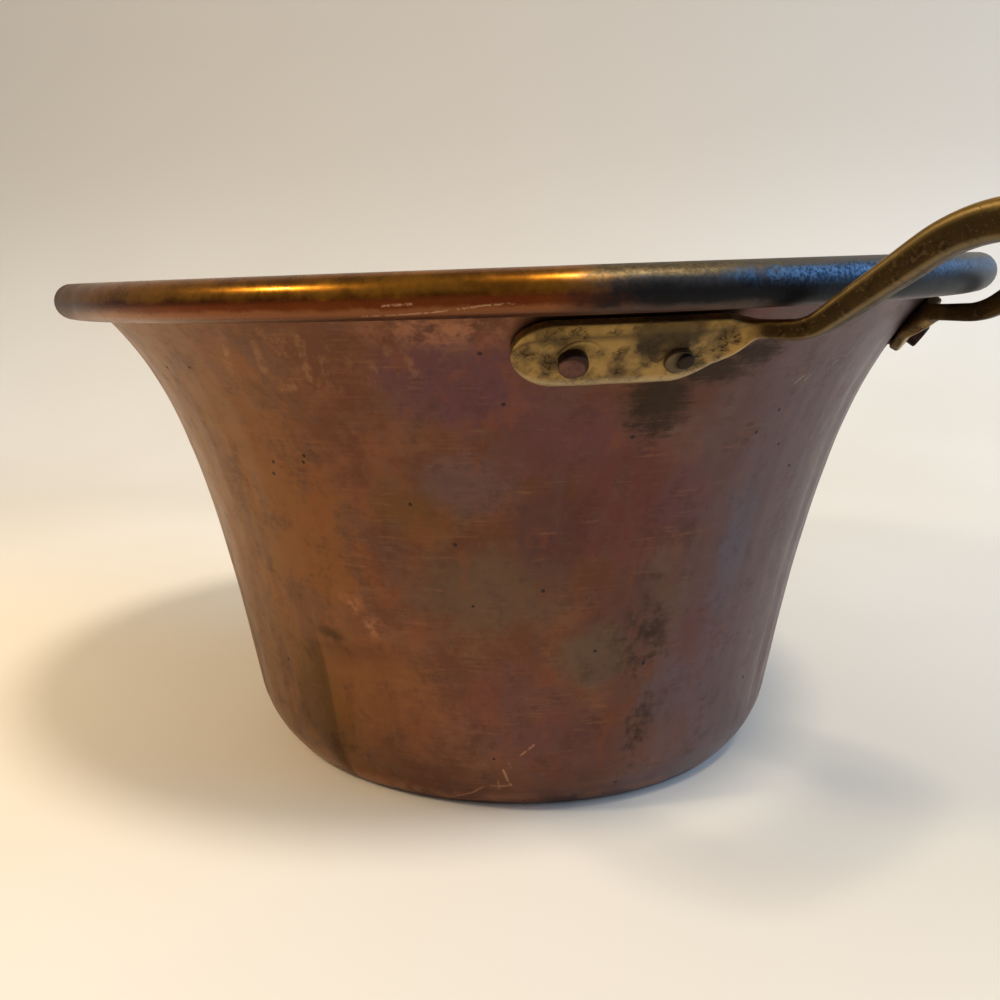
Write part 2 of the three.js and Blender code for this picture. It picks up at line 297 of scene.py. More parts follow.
class Graph:
    """Makes the nodes of one tree."""

    def __init__(self, tree):
        self.tree = tree

    def feed(self, socket, value):
        if isinstance(value, Num):
            self.tree.links.new(value.socket, socket)
        elif isinstance(value, bpy.types.NodeSocket):
            self.tree.links.new(value, socket)
        else:
            socket.default_value = value

    def node(self, kind, settings=None, sockets=None):
        made = self.tree.nodes.new(kind)
        for name, value in (settings or {}).items():
            setattr(made, name, value)
        for name, value in (sockets or {}).items():
            self.feed(made.inputs[name], value)
        return made

    def maths(self, operation, *operands):
        made = self.node("ShaderNodeMath", {"operation": operation}, dict(enumerate(operands)))
        return Num(self, made.outputs[0])

    def vector(self, operation, *operands):
        made = self.node("ShaderNodeVectorMath", {"operation": operation}, dict(enumerate(operands)))
        return made.outputs[0]

    def measure(self, operation, *operands):
        made = self.node("ShaderNodeVectorMath", {"operation": operation}, dict(enumerate(operands)))
        return Num(self, made.outputs["Value"])

    def parts(self, vector):
        made = self.node("ShaderNodeSeparateXYZ", None, {0: vector})
        return [Num(self, socket) for socket in made.outputs]

    def joined(self, x, y, z):
        return self.node("ShaderNodeCombineXYZ", None, {0: x, 1: y, 2: z}).outputs[0]

    def ramp(self, value, low, high, start=0.0, end=1.0):
        sockets = {"Value": value, "From Min": low, "From Max": high, "To Min": start, "To Max": end}
        made = self.node("ShaderNodeMapRange", {"interpolation_type": "SMOOTHSTEP"}, sockets)
        return Num(self, made.outputs[0])

    def noise(self, vector, scale, detail=2.0, roughness=0.5):
        sockets = {"Vector": vector, "Scale": scale, "Detail": detail, "Roughness": roughness}
        return Num(self, self.node("ShaderNodeTexNoise", None, sockets).outputs[0])

    def cells(self, vector, scale, feature="F1"):
        sockets = {"Vector": vector, "Scale": scale}
        return Num(self, self.node("ShaderNodeTexVoronoi", {"feature": feature}, sockets).outputs[0])

    def blend(self, factor, low, high, kind="MIX"):
        settings = {"data_type": "RGBA", "blend_type": kind, "clamp_factor": True}
        return self.node("ShaderNodeMix", settings, {0: factor, 6: low, 7: high}).outputs[2]


# Relief of the turned pieces: a blow's stretch and middle level, and the fineness of the slow waves
BLOW_STRETCH = (1.0, 1.0, 0.45)
BLOW_LEVEL = 0.3
LEAN_FINENESS = 9.0
FLUTE_FINENESS = 14.0
MERGE_DISTANCE = 1e-6
LEAST_REACH = 1e-5  # keeps the division by the radius finite at the axis


# Geometry Nodes: an outline is turned about Z, closed, and given the shallow bowls that a hammer leaves
def turning_group():
    tree = bpy.data.node_groups.new("turned_piece", "GeometryNodeTree")
    g = Graph(tree)
    face = tree.interface
    face.new_socket("Geometry", in_out="INPUT", socket_type="NodeSocketGeometry")
    for name, kind, value in (
        ("Steps Around", "NodeSocketInt", 64),
        ("Blow Size", "NodeSocketFloat", 0.01),
        ("Blow Depth", "NodeSocketFloat", 0.0),
        ("Blows From", "NodeSocketFloat", 0.0),
        ("Blows To", "NodeSocketFloat", 1.0),
        ("Blows Fade", "NodeSocketFloat", 0.01),
        ("Out Of Round", "NodeSocketFloat", 0.0),
        ("Flute Depth", "NodeSocketFloat", 0.0),
        ("Seed", "NodeSocketFloat", 0.0),
    ):
        face.new_socket(name, in_out="INPUT", socket_type=kind).default_value = value
    face.new_socket("Material", in_out="INPUT", socket_type="NodeSocketMaterial")
    face.new_socket("Geometry", in_out="OUTPUT", socket_type="NodeSocketGeometry")
    given = g.node("NodeGroupInput").outputs

    counted = g.node("GeometryNodeAttributeDomainSize", None, {0: given["Geometry"]})
    rows = Num(g, counted.outputs["Point Count"])
    columns = Num(g, given["Steps Around"]) + 1.0
    grid = g.node(
        "GeometryNodeMeshGrid", None,
        {"Size X": 1.0, "Size Y": 1.0, "Vertices X": columns, "Vertices Y": rows},
    ).outputs["Mesh"]
    across, up, _ = g.parts(g.node("GeometryNodeInputPosition").outputs[0])
    row = g.maths("ROUND", (up + 0.5) * (rows - 1.0))
    outline = g.node(
        "GeometryNodeSampleIndex", {"data_type": "FLOAT_VECTOR", "domain": "POINT"},
        {"Geometry": given["Geometry"]},
    )
    g.tree.links.new(g.node("GeometryNodeInputPosition").outputs[0], outline.inputs["Value"])
    g.feed(outline.inputs["Index"], row)
    radius, _, height = g.parts(outline.outputs[0])
    turn = (across + 0.5) * (2 * math.pi)
    place = g.joined(radius * g.maths("COSINE", turn), radius * g.maths("SINE", turn), height)
    turned = g.node("GeometryNodeSetPosition", None, {"Geometry": grid, "Position": place}).outputs[0]
    merging = {"Geometry": turned, "Distance": MERGE_DISTANCE}
    closed = g.node("GeometryNodeMergeByDistance", None, merging).outputs[0]

    position = g.node("GeometryNodeInputPosition").outputs[0]
    x, y, z = g.parts(position)
    shifted = g.vector("ADD", position, g.joined(given["Seed"], given["Seed"], given["Seed"]))
    sharpness = 1.0 / Num(g, given["Blow Size"])
    tall = g.vector("MULTIPLY", shifted, BLOW_STRETCH)
    bowl = g.cells(tall, sharpness) ** 2.0 - BLOW_LEVEL
    fade = Num(g, given["Blows Fade"])
    above = g.ramp(z, given["Blows From"], Num(g, given["Blows From"]) + fade)
    below = g.ramp(z, Num(g, given["Blows To"]) - fade, given["Blows To"])
    struck = bowl * Num(g, given["Blow Depth"]) * above * (1.0 - below)
    lean = (g.noise(shifted, LEAN_FINENESS, 1.0) - 0.5) * Num(g, given["Out Of Round"]) * above
    reach = g.maths("SQRT", x * x + y * y) + LEAST_REACH
    around = g.joined(x / reach, y / reach, given["Seed"])
    flutes = (g.noise(around, FLUTE_FINENESS, 1.0) - 0.5) * Num(g, given["Flute Depth"])
    push = (struck + lean + flutes * above * (1.0 - below)) / reach
    moved = g.node(
        "GeometryNodeSetPosition", None,
        {"Geometry": closed, "Offset": g.joined(x * push, y * push, 0.0)},
    ).outputs[0]
    rounded = g.node("GeometryNodeSetShadeSmooth", None, {"Geometry": moved}).outputs[0]
    real = g.node("GeometryNodeRealizeInstances", None, {"Geometry": rounded}).outputs[0]
    dressing = {"Geometry": real, "Material": given["Material"]}
    dressed = g.node("GeometryNodeSetMaterial", None, dressing).outputs[0]
    g.node("NodeGroupOutput", None, {0: dressed})
    return tree


TURNING = turning_group()


def add_object(name, mesh):
    piece = bpy.data.objects.new(name, mesh)
    bpy.context.scene.collection.objects.link(piece)
    return piece


def mesh_of(name, points, faces, edges=()):
    mesh = bpy.data.meshes.new(name)
    mesh.from_pydata([tuple(map(float, p)) for p in points], list(edges), [tuple(map(int, f)) for f in faces])
    mesh.validate()
    return mesh


def turned_mesh(name, outline, material, values):
    """The mesh that the turning group makes of an outline of radius and height."""
    points = [(r, 0.0, z) for r, z in outline]
    edges = [(i, i + 1) for i in range(len(points) - 1)]
    source = add_object(name + "_outline", mesh_of(name + "_outline", points, (), edges))
    modifier = source.modifiers.new("turned_piece", "NODES")
    modifier.node_group = TURNING
    for item in TURNING.interface.items_tree:
        if item.in_out == "INPUT" and item.name in values:
            modifier[item.identifier] = values[item.name]
        elif item.in_out == "INPUT" and item.name == "Material":
            modifier[item.identifier] = material
    bpy.context.view_layer.update()
    shaped = source.evaluated_get(bpy.context.evaluated_depsgraph_get())
    mesh = bpy.data.meshes.new_from_object(shaped)
    mesh.name = name
    bpy.data.objects.remove(source, do_unlink=True)
    return mesh


# Materials
def new_material(name):
    material = bpy.data.materials.new(name)
    material.use_nodes = True
    tree = material.node_tree
    tree.nodes.clear()
    return material, Graph(tree)


def finish_material(g, colour, roughness, metallic, height=None, bump_depth=0.0, coat=0.0):
    sockets = {"Base Color": colour, "Roughness": roughness, "Metallic": metallic, "Coat Weight": coat}
    if height is not None:
        bump = g.node("ShaderNodeBump", None, {"Strength": 1.0, "Distance": bump_depth, "Height": height})
        sockets["Normal"] = bump.outputs[0]
    shader = g.node("ShaderNodeBsdfPrincipled", None, sockets)
    g.node("ShaderNodeOutputMaterial", None, {"Surface": shader.outputs[0]})


SCRATCH_CORE = 0.3  # share of a scratch's half-width that is full strength


def scratched(g, position, start, end, half_width, waver):
    """1 along a straight line between two places, wavering to its sides."""
    run = tuple(b - a for a, b in zip(start, end))
    length = math.sqrt(sum(v * v for v in run))
    along = tuple(v / length for v in run)
    offset = g.vector("SUBTRACT", position, start)
    share = g.measure("DOT_PRODUCT", offset, along)
    held = g.maths("MINIMUM", g.maths("MAXIMUM", share, 0.0), length)
    foot = g.node("ShaderNodeVectorMath", {"operation": "SCALE"}, {0: along, "Scale": held}).outputs[0]
    away = g.measure("DISTANCE", offset, foot)
    return g.ramp(away + g.maths("ABSOLUTE", waver), half_width, half_width * SCRATCH_CORE)


def near(g, position, centre, reach, core=0.15):
    """1 at a place, falling to 0 at a distance from it in each direction."""
    offset = g.vector("SUBTRACT", position, centre)
    scaled = g.vector("DIVIDE", offset, reach)
    return g.ramp(g.measure("LENGTH", scaled), 1.0, core)


# Colours of the copper
BROWN = (0.112, 0.046, 0.028, 1.0)
LIGHT_BROWN = (0.160, 0.071, 0.040, 1.0)
GOLDEN = (0.215, 0.100, 0.036, 1.0)
# Colour of the painted reflection of the warm floor and backdrop along the left edge
LEFT_EDGE_REFLECTION = (0.330, 0.178, 0.084, 1.0)
BLOOM = (0.112, 0.064, 0.054, 1.0)
EMBER = (0.190, 0.066, 0.030, 1.0)
DEEP_BROWN = (0.056, 0.029, 0.020, 1.0)
SCRATCH = (0.50, 0.24, 0.14, 1.0)
PIT_BLACK = (0.012, 0.008, 0.006, 1.0)
SCOURED = (0.36, 0.150, 0.080, 1.0)
SCOURED_DARK = (0.24, 0.095, 0.050, 1.0)
ORANGE = (0.200, 0.078, 0.026, 1.0)
OLIVE = (0.125, 0.064, 0.022, 1.0)
GREY_GREEN = (0.104, 0.070, 0.046, 1.0)
PURPLE = (0.110, 0.048, 0.054, 1.0)
PLUM = (0.080, 0.038, 0.038, 1.0)
RED = (0.112, 0.038, 0.038, 1.0)
GREY_MAUVE = (0.108, 0.076, 0.084, 1.0)
TAN = (0.310, 0.165, 0.088, 1.0)
# Colour of the darkening, also used for the painted shade at the dent
DARKENING = (0.028, 0.019, 0.009, 1.0)
# Bare copper, also the colour of the painted highlight beside the dent
BARE_COPPER_AND_HIGHLIGHT = (0.420, 0.185, 0.098, 1.0)
# Colour of a painted reflection of blue sky light
SKY_REFLECTION_BLUE = (0.105, 0.090, 0.112, 1.0)
PALE = (0.420, 0.340, 0.300, 1.0)
# Gains of the painted reflection of the lit floor on the low wall
FOOT_REFLECTION_GAINS = (1.32, 1.36, 1.40)  # how much each channel rises towards the foot

# Colours of the roll, from its amber stretch to the dusty one by the handle. The bands by height are painted
# reflections and shade, and the blue is partly heat tint and partly a painted sky reflection
AMBER_DARK = (0.215, 0.075, 0.006, 1.0)
AMBER = (0.390, 0.150, 0.014, 1.0)
ROLL_RED = (0.075, 0.012, 0.001, 1.0)
ROSY = (0.178, 0.064, 0.023, 1.0)
ROLL_SCRATCH = (0.700, 0.440, 0.270, 1.0)
LEFT_END = (0.040, 0.015, 0.004, 1.0)
DUST_GREY = (0.062, 0.058, 0.058, 1.0)
DUST_AND_CREST_SHEEN = (0.150, 0.110, 0.055, 1.0)
DUST_DARK = (0.035, 0.028, 0.020, 1.0)
NAVY = (0.016, 0.032, 0.056, 1.0)
HEAT_TINT_AND_SKY_SHEEN = (0.074, 0.122, 0.185, 1.0)
CREST_GREY = (0.100, 0.085, 0.070, 1.0)
ROLL_PAINTED_SHADE = (0.010, 0.010, 0.011, 1.0)
LOW_ROSE_REFLECTION = (0.095, 0.062, 0.046, 1.0)

# Colours of the brass
PAD_YELLOW = (0.335, 0.207, 0.066, 1.0)
PAD_OLIVE = (0.225, 0.145, 0.053, 1.0)
PAD_WASH = (0.190, 0.125, 0.062, 1.0)
TARNISH = (0.085, 0.050, 0.018, 1.0)
CRACK = (0.030, 0.018, 0.008, 1.0)
BAR_BROWN = (0.034, 0.019, 0.007, 1.0)
BAR_WORN = (0.210, 0.125, 0.050, 1.0)
# Colour of the darker zone near the pads' upper edges
PAD_DARKENING = (0.050, 0.034, 0.019, 1.0)
# Polish and painted highlight on the bar's top; wear and painted highlight on its upper edge
POLISH_AND_HIGHLIGHT = (0.400, 0.220, 0.042, 1.0)
BRIGHT_EDGE = (0.560, 0.360, 0.120, 1.0)
# Colour of the painted shadow of the roll along the pads' upper edges
DARK_EDGE = (0.030, 0.020, 0.012, 1.0)
# Colour of the painted floor reflection on the lower edges
PALE_EDGE = (0.520, 0.400, 0.230, 1.0)

# Colours of the rivets, the wire and the floor
RIVET_BROWN = (0.125, 0.058, 0.044, 1.0)
RIVET_DARK = (0.075, 0.038, 0.030, 1.0)
RIVET_ROSE = (0.16, 0.080, 0.058, 1.0)
RIVET_SHADE = (0.028, 0.016, 0.012, 1.0)
COLLAR = (0.165, 0.115, 0.064, 1.0)
COLLAR_DARK = (0.085, 0.060, 0.036, 1.0)
PEENED_BLACK = (0.020, 0.014, 0.011, 1.0)
FAR_RIVET = (0.016, 0.013, 0.014, 1.0)
IRON = (0.035, 0.030, 0.027, 1.0)
RUST = (0.085, 0.038, 0.018, 1.0)
FLOOR_CREAM = (0.80, 0.745, 0.645, 1.0)
FLOOR_PALE = (0.86, 0.81, 0.725, 1.0)
# Colour of the upper backdrop, darker as painted shade
BACKDROP_BEIGE = (0.64, 0.575, 0.49, 1.0)

# Patches: degrees right of the camera, then height, half-width, half-height in mm, colour and strength
PATCHES = (
    (-39, 30, 22, 38, OLIVE, 0.9),
    (-30, 90, 30, 50, ORANGE, 0.45),
    (-24, 40, 40, 36, ORANGE, 0.45),
    (-6, 143, 38, 24, PURPLE, 0.95),
    (6, 126, 40, 28, PURPLE, 0.75),
    (-13, 104, 26, 24, OLIVE, 0.6),
    (-7, 112, 26, 18, GREY_MAUVE, 0.45),
    (-3, 80, 40, 30, GREY_GREEN, 0.65),
    (7, 98, 26, 30, PLUM, 0.75),
    (17, 104, 26, 38, RED, 0.7),
    (2, 40, 30, 30, RED, 0.45),
    (12, 24, 34, 22, PLUM, 0.6),
    (26, 70, 22, 30, GREY_GREEN, 0.4),
    (19, 66, 24, 36, PLUM, 0.55),
    (27, 104, 16, 26, PURPLE, 0.6),
    (33, 60, 14, 24, RED, 0.35),
    (15, 57, 22, 19, GREY_GREEN, 0.8),
    (29, 40, 18, 22, GREY_MAUVE, 0.6),
    # The last patch is a painted reflection of blue sky light on the right of the wall
    (39, 90, 15, 52, SKY_REFLECTION_BLUE, 0.7),
)

# Pits: degrees right of the camera and height in mm, then their half-sizes in mm and the share that is full
PITS = (
    (-35.5, 116.2), (-28.9, 119.3), (-29.4, 117.2), (-2.4, 149.8), (-5, 73.8), (-7.2, 93.8), (16.5, 125),
    (38.9, 129), (47, 110), (42, 118), (36, 123), (24, 52), (15, 58), (22, 9), (-53, 144), (-45, 145),
    (-13.3, 106),
)
PIT_SIZE = (0.9, 0.8)
PIT_CORE = 0.3

# Other places on the wall: degrees right of the camera, then height, half-width and half-height in mm
# Painted highlights beside the head of the dent
DENT_HIGHLIGHTS = ((-26.5, 71, 8, 9), (-22.5, 64, 10, 6))
BARE_BAND = (-6, 157, 34, 9)
LEFT_STREAKS = (-27, 149, 44, 17)
MIDDLE_STREAKS = (-12, 147, 26, 16)
# Darker places below the pad
BELOW_PAD_DARKENING = ((19.5, 136, 21, 21), (25, 143, 26, 10), (29.5, 147, 17, 7))
DARK_RUNS = ((23, 60, 13, 30), (24, 28, 14, 22))
# Painted shade at the head of the dent
DENT_NOTCH = (-32.2, 59.4, 11.0, 4.2)

# Where a layer of the copper begins and where it is full: heights, or distances from the fold or axis
# Heights over which the painted floor reflection at the foot sets in
FOOT_REFLECTION_RISE = (110 * MM, 5 * MM)
# Heights over which the painted reflection along the left edge sets in
LEFT_REFLECTION_RISE = (50 * MM, 100 * MM)
FOOT_WEAR_TOP = (7.5 * MM, 3.5 * MM)
FOOT_WEAR_LOW = (0.5 * MM, 2.5 * MM)
CREASE_SHIFT = 1.0  # degrees past the fold
CREASE_FADE = (-8.5 * MM, -0.5 * MM)
CREASE_STOP = (1.0 * MM, -0.2 * MM)
CREASE_TOP = ((DENT_HEAD[1] + 1) * MM, (DENT_HEAD[1] - 5) * MM)
ROLL_SEAM = (ROLL_UNDERSIDE - 0.5 * MM, ROLL_UNDERSIDE + 1.5 * MM)
ROLL_FROM = (146 * MM, 149 * MM)

# Bands of the roll: heights above its underside where each begins and is full. Each band is painted light:
# reflections of the dark room and the lit floor, a sheen along the crest, and a black band of shade
RED_BAND = (7.2 * MM, 5.0 * MM)
ROSY_BAND = (3.6 * MM, 2.2 * MM)
DUST_SHEEN_CREST = (7.6 * MM, 9.4 * MM)
BLUE_CREST = (9.2 * MM, 10.6 * MM)
ROLL_SHADE_BAND = (8.6 * MM, 4.6 * MM)
ROSE_BAND = (2.6 * MM, 1.0 * MM)

# Places on the handle: distances from the axis, and marks in mm from a pad's tip and below its upper edge
BAR_FROM = (141.5 * MM, 151 * MM)
POLISH_AND_HIGHLIGHT_RUN = (150 * MM, 200 * MM)
PAD_DARKENING_PLACE = (38.5, 3.0)
PAD_DARKENING_REACH = (13.5 * MM, 13.5 * MM, 10.5 * MM)
GROOVE_PLACE = (17.5, OUTER_RIVET_DROP / MM - 0.4)
GROOVE_RADIUS = 5.4 * MM
GROOVE_WIDTH = (0.7 * MM, 0.2 * MM)
GROOVE_ABOVE = (0.5 * MM, 2.5 * MM)

# Reach of the painted shade and of the collar and tip marks on the rivets' heads, and the depth of each
# finish's fine relief
BRIGHT_REACH = 4.6 * MM
SHADE_REACH = 12 * MM
COLLAR_REACH = 10 * MM
TIP_REACH = 4.6 * MM
FAR_SIDE = (0.0, 10 * MM)
COPPER_BUMP = 0.22 * MM
BRASS_BUMP = 0.3 * MM
RIVET_BUMP = 0.12 * MM
IRON_BUMP = 0.2 * MM
AXIS_GAP = 1e-4  # keeps the division by the radius finite at the axis

# Lines on the wall and the roll, as rows of places: degrees right of the camera's side and millimetres
FOOT_SCRATCH = ((-13.4, 1.7), (-6.9, 6.3), (-4.0, 10.2), (-1.7, 9.9), (0.9, 10.6), (0.3, 12.5), (-0.6, 17.0))
FOOT_BRANCHES = (((-1.6, 13.0), (-1.5, 8.8)), ((0.5, 19.7), (0.9, 17.8)), ((2.6, 22.6), (5.0, 26.4)))
FOOT_RUB = ((-12, 1.4), (-4.3, 3.4), (2.4, 2.0), (8.4, 1.4))
DRIPS = (
    ((-34.4, 151.4), (-36.2, 144.6)), ((-29.0, 155.3), (-29.7, 148.3), (-30.0, 144.5)),
    ((-22.3, 155.8), (-23.4, 147.7), (-23.6, 140.7)), ((-28.4, 139.9), (-26.5, 140.6)),
)
TICKS = (((39.6, 136.4), (40.6, 138.6)), ((41.4, 137.0), (42.2, 138.8)), ((45.4, 139.6), (46.6, 142.0)))
ROLL_SCRATCHES = (
    ((-12, 1.2), (-6, 1.8), (-1.5, 3.1), (1.5, 3.5)), ((-10, 3.6), (-7.5, 3.9)),
)


class Skin:
    """The noises and directions that every layer of the copper shares."""

    def __init__(self, g):
        self.g = g
        self.position = g.node("ShaderNodeTexCoord").outputs["Object"]
        self.x, self.y, self.z = g.parts(self.position)
        self.outward = g.maths("SQRT", self.x * self.x + self.y * self.y) + AXIS_GAP
        sideways = self.y * math.cos(VIEW_ANGLE) - self.x * math.sin(VIEW_ANGLE)
        self.rightward = sideways / self.outward
        self.to_handle = self.x / self.outward
        self.wide = g.noise(self.position, 16.0, 3.0, 0.55)
        self.mottle = g.noise(self.position, 60.0, 5.0, 0.65)
        self.other = g.noise(g.vector("ADD", self.position, (0.71, 0.33, 0.12)), 95.0, 5.0, 0.68)
        self.fine = g.noise(self.position, 380.0, 4.0, 0.62)
        self.dust = g.noise(self.position, 1100.0, 3.0, 0.6)
        self.rubbed = self.stretched(75.0, 900.0)
        self.brushed = self.stretched(30.0, 2400.0)
        self.streak = self.stretched(210.0, 12.0)
        self.ragged = (self.mottle - 0.5) * 1.5 + (self.other - 0.5) * 1.0 + (self.wide - 0.5) * 0.6

    def stretched(self, across, upright):
        scaled = self.g.vector("MULTIPLY", self.position, (across, across, upright))
        return self.g.noise(scaled, 1.0, 4.0, 0.65)

    def near(self, from_view, height, half_width, half_height, core=0.0):
        reach = (half_width * MM, half_width * MM, half_height * MM)
        return near(self.g, self.position, wall_mark(from_view, height), reach, core)

    def within(self, places):
        """1 at the middle of any of these places on the wall."""
        whole = self.near(*places[0])
        for place in places[1:]:
            whole = self.g.maths("MAXIMUM", whole, self.near(*place))
        return whole

    def line(self, places, half_width, waver, mark=wall_mark):
        """1 along a row of straight lines between marks."""
        whole = None
        for start, end in zip(places[:-1], places[1:]):
            part = scratched(self.g, self.position, mark(*start), mark(*end), half_width * MM, waver)
            whole = part if whole is None else self.g.maths("MAXIMUM", whole, part)
        return whole

    def lines(self, rows, half_width, waver, mark=wall_mark):
        whole = self.line(rows[0], half_width, waver, mark)
        for places in rows[1:]:
            whole = self.g.maths("MAXIMUM", whole, self.line(places, half_width, waver, mark))
        return whole


# Red-brown patina broken into patches, more golden on the left and greyer on the right, partly its own tone
# and partly painted warm and cool reflections; with a painted reflection along the left edge and a painted
# floor reflection brightening it towards the foot
def patina(g, s):
    spread = s.mottle + (s.other - 0.5) * 0.6 + (s.rubbed - 0.5) * 0.25 + (s.brushed - 0.5) * 0.15
    colour = g.blend(g.ramp(spread, 0.35, 0.68), BROWN, LIGHT_BROWN)
    # More golden on the camera's left and greyer on its right: partly patina tone, partly a painted warm
    # reflection on the left and a painted cool sheen on the right
    leftness = g.ramp(-s.rightward + (s.wide - 0.5) * 0.5, 0.25, 0.80)
    colour = g.blend(leftness * 0.8, colour, GOLDEN)
    # A painted reflection of the warm floor and backdrop along the left edge, rising up the wall
    edge = g.ramp(-s.rightward + (s.streak - 0.5) * 0.25, 0.76, 0.93) * g.ramp(s.z, *LEFT_REFLECTION_RISE)
    colour = g.blend(edge * 0.60, colour, LEFT_EDGE_REFLECTION)
    rightness = g.ramp(s.rightward + (s.mottle - 0.5) * 0.5, 0.22, 0.66)
    colour = g.blend(rightness * 0.8, colour, GREY_MAUVE)
    for from_view, height, half_width, half_height, tint, strength in PATCHES:
        inside = s.near(from_view, height, half_width, half_height)
        shown = g.ramp(inside + s.ragged, 0.15, 0.85) * g.ramp(inside, 0.0, 0.4) * strength
        colour = g.blend(shown, colour, tint)
    # Brighter towards the foot: a painted reflection of the lit floor
    gains = [g.ramp(s.z, *FOOT_REFLECTION_RISE, 1.0, gain) for gain in FOOT_REFLECTION_GAINS]
    colour = g.blend(1.0, colour, g.joined(*gains), "MULTIPLY")
    settled = 1.0 - rightness * 0.6
    bloom = g.ramp(s.stretched(70.0, 36.0) + (s.other - 0.5) * 0.35, 0.50, 0.60) * settled
    colour = g.blend(bloom * 0.36, colour, BLOOM)
    ember = g.ramp(s.stretched(98.0, 47.0) + (s.mottle - 0.5) * 0.35, 0.53, 0.63) * settled
    colour = g.blend(ember * 0.34, colour, EMBER)
    deep = g.ramp(s.other + (s.fine - 0.5) * 0.5 + (s.brushed - 0.5) * 0.25, 0.48, 0.74)
    return g.blend(deep * 0.38, colour, DEEP_BROWN)


# Copper rubbed bare: level scuffs, specks, the foot's edge, a band beneath the roll, and a forked scratch;
# also a painted highlight in bare copper's colour beside the dent's head
def wear_stains_and_highlight(g, s, colour):
    scuff = g.ramp(s.rubbed * 0.7 + s.other * 0.5, 0.66, 0.80) + g.ramp(s.brushed, 0.55, 0.75) * 0.35
    foot = g.ramp(s.z, *FOOT_WEAR_TOP) * g.ramp(s.z, *FOOT_WEAR_LOW)
    foot = foot * g.ramp(s.mottle + s.fine * 0.3, 0.52, 0.70)
    patch = g.ramp(s.other + s.fine * 0.3, 0.58, 0.78)
    # A painted highlight beside the dent's head, in bare copper's colour
    dent_highlight = s.within(DENT_HIGHLIGHTS) * patch
    band = s.near(*BARE_BAND) * g.ramp(s.other + s.fine * 0.45, 0.62, 0.84)
    speck = g.ramp(s.dust, 0.66, 0.76) * g.ramp(s.other, 0.46, 0.62)
    fray = (s.fine - 0.5) * 0.0014
    fork = g.maths("MAXIMUM", s.line(FOOT_SCRATCH, 0.7, fray), s.lines(FOOT_BRANCHES, 0.6, fray) * 0.6)
    fork = g.maths("MAXIMUM", fork, s.line(FOOT_RUB, 1.2, fray) * 0.6) * g.ramp(s.fine, 0.34, 0.52)
    bare_and_highlight = scuff * 0.13 + foot * 0.6 + dent_highlight * 0.7 + band * 0.6 + speck * 0.3
    colour = g.blend(bare_and_highlight, colour, BARE_COPPER_AND_HIGHLIGHT)
    colour = g.blend(fork * 0.75, colour, SCRATCH)
    runs = g.ramp(s.streak + (s.fine - 0.5) * 0.5, 0.50, 0.72)
    runs = runs * g.maths("MAXIMUM", s.near(*LEFT_STREAKS), s.near(*MIDDLE_STREAKS) * 0.7)
    drips = s.lines(DRIPS, 2.4, (s.other - 0.5) * 0.006 + (s.fine - 0.5) * 0.003) * g.ramp(s.fine, 0.34, 0.62)
    colour = g.blend(g.maths("MAXIMUM", runs * 0.45, drips * 0.45), colour, TAN)
    return g.blend(s.lines(TICKS, 0.35, fray * 0.3) * 0.6, colour, PALE)


# Darkening below the pad, a dark run low on the right, and painted shade beside the fold of the dent and at
# its head
def dark_marks_and_painted_shade(g, s):
    below_pad = s.within(BELOW_PAD_DARKENING)
    torn = s.ragged * 0.6 + (s.rubbed - 0.5) * 1.2 + (s.fine - 0.5) * 0.6
    below_pad = g.ramp(below_pad + torn, 0.18, 0.90) * g.ramp(below_pad, 0.02, 0.4)
    run = s.within(DARK_RUNS) * g.ramp(s.other + (s.mottle - 0.5) + (s.fine - 0.5) * 0.6, 0.38, 0.70)
    # Painted shade beside the dent's fold, fading up to its head
    fold = VIEW_ANGLE + math.radians((DENT_FOOT[0] + DENT_HEAD[0]) / 2 + CREASE_SHIFT)
    past = (g.maths("ARCTAN2", s.y, s.x) - fold) * s.outward + (s.other - 0.5) * 0.0012
    crease = g.ramp(past, *CREASE_FADE) * g.ramp(past, *CREASE_STOP)
    crease = crease * g.ramp(s.z, *CREASE_TOP)
    # Painted shade at the dent's head
    notch = g.ramp(s.near(*DENT_NOTCH) + (s.other - 0.5) * 0.7, 0.2, 1.0)
    return g.maths("MINIMUM", below_pad * 0.9 + run * 0.8 + crease * 0.38 + notch * 0.55, 1.0)


def pitted(g, s):
    pit = g.ramp(g.cells(s.position, 75.0), 0.060, 0.030) * g.ramp(g.noise(s.position, 23.0, 1.0), 0.58, 0.62)
    for from_view, height in PITS:
        pit = g.maths("MAXIMUM", pit, s.near(from_view, height, *PIT_SIZE, PIT_CORE))
    return g.ramp(pit + (s.dust - 0.5) * 0.6, 0.2, 0.6)


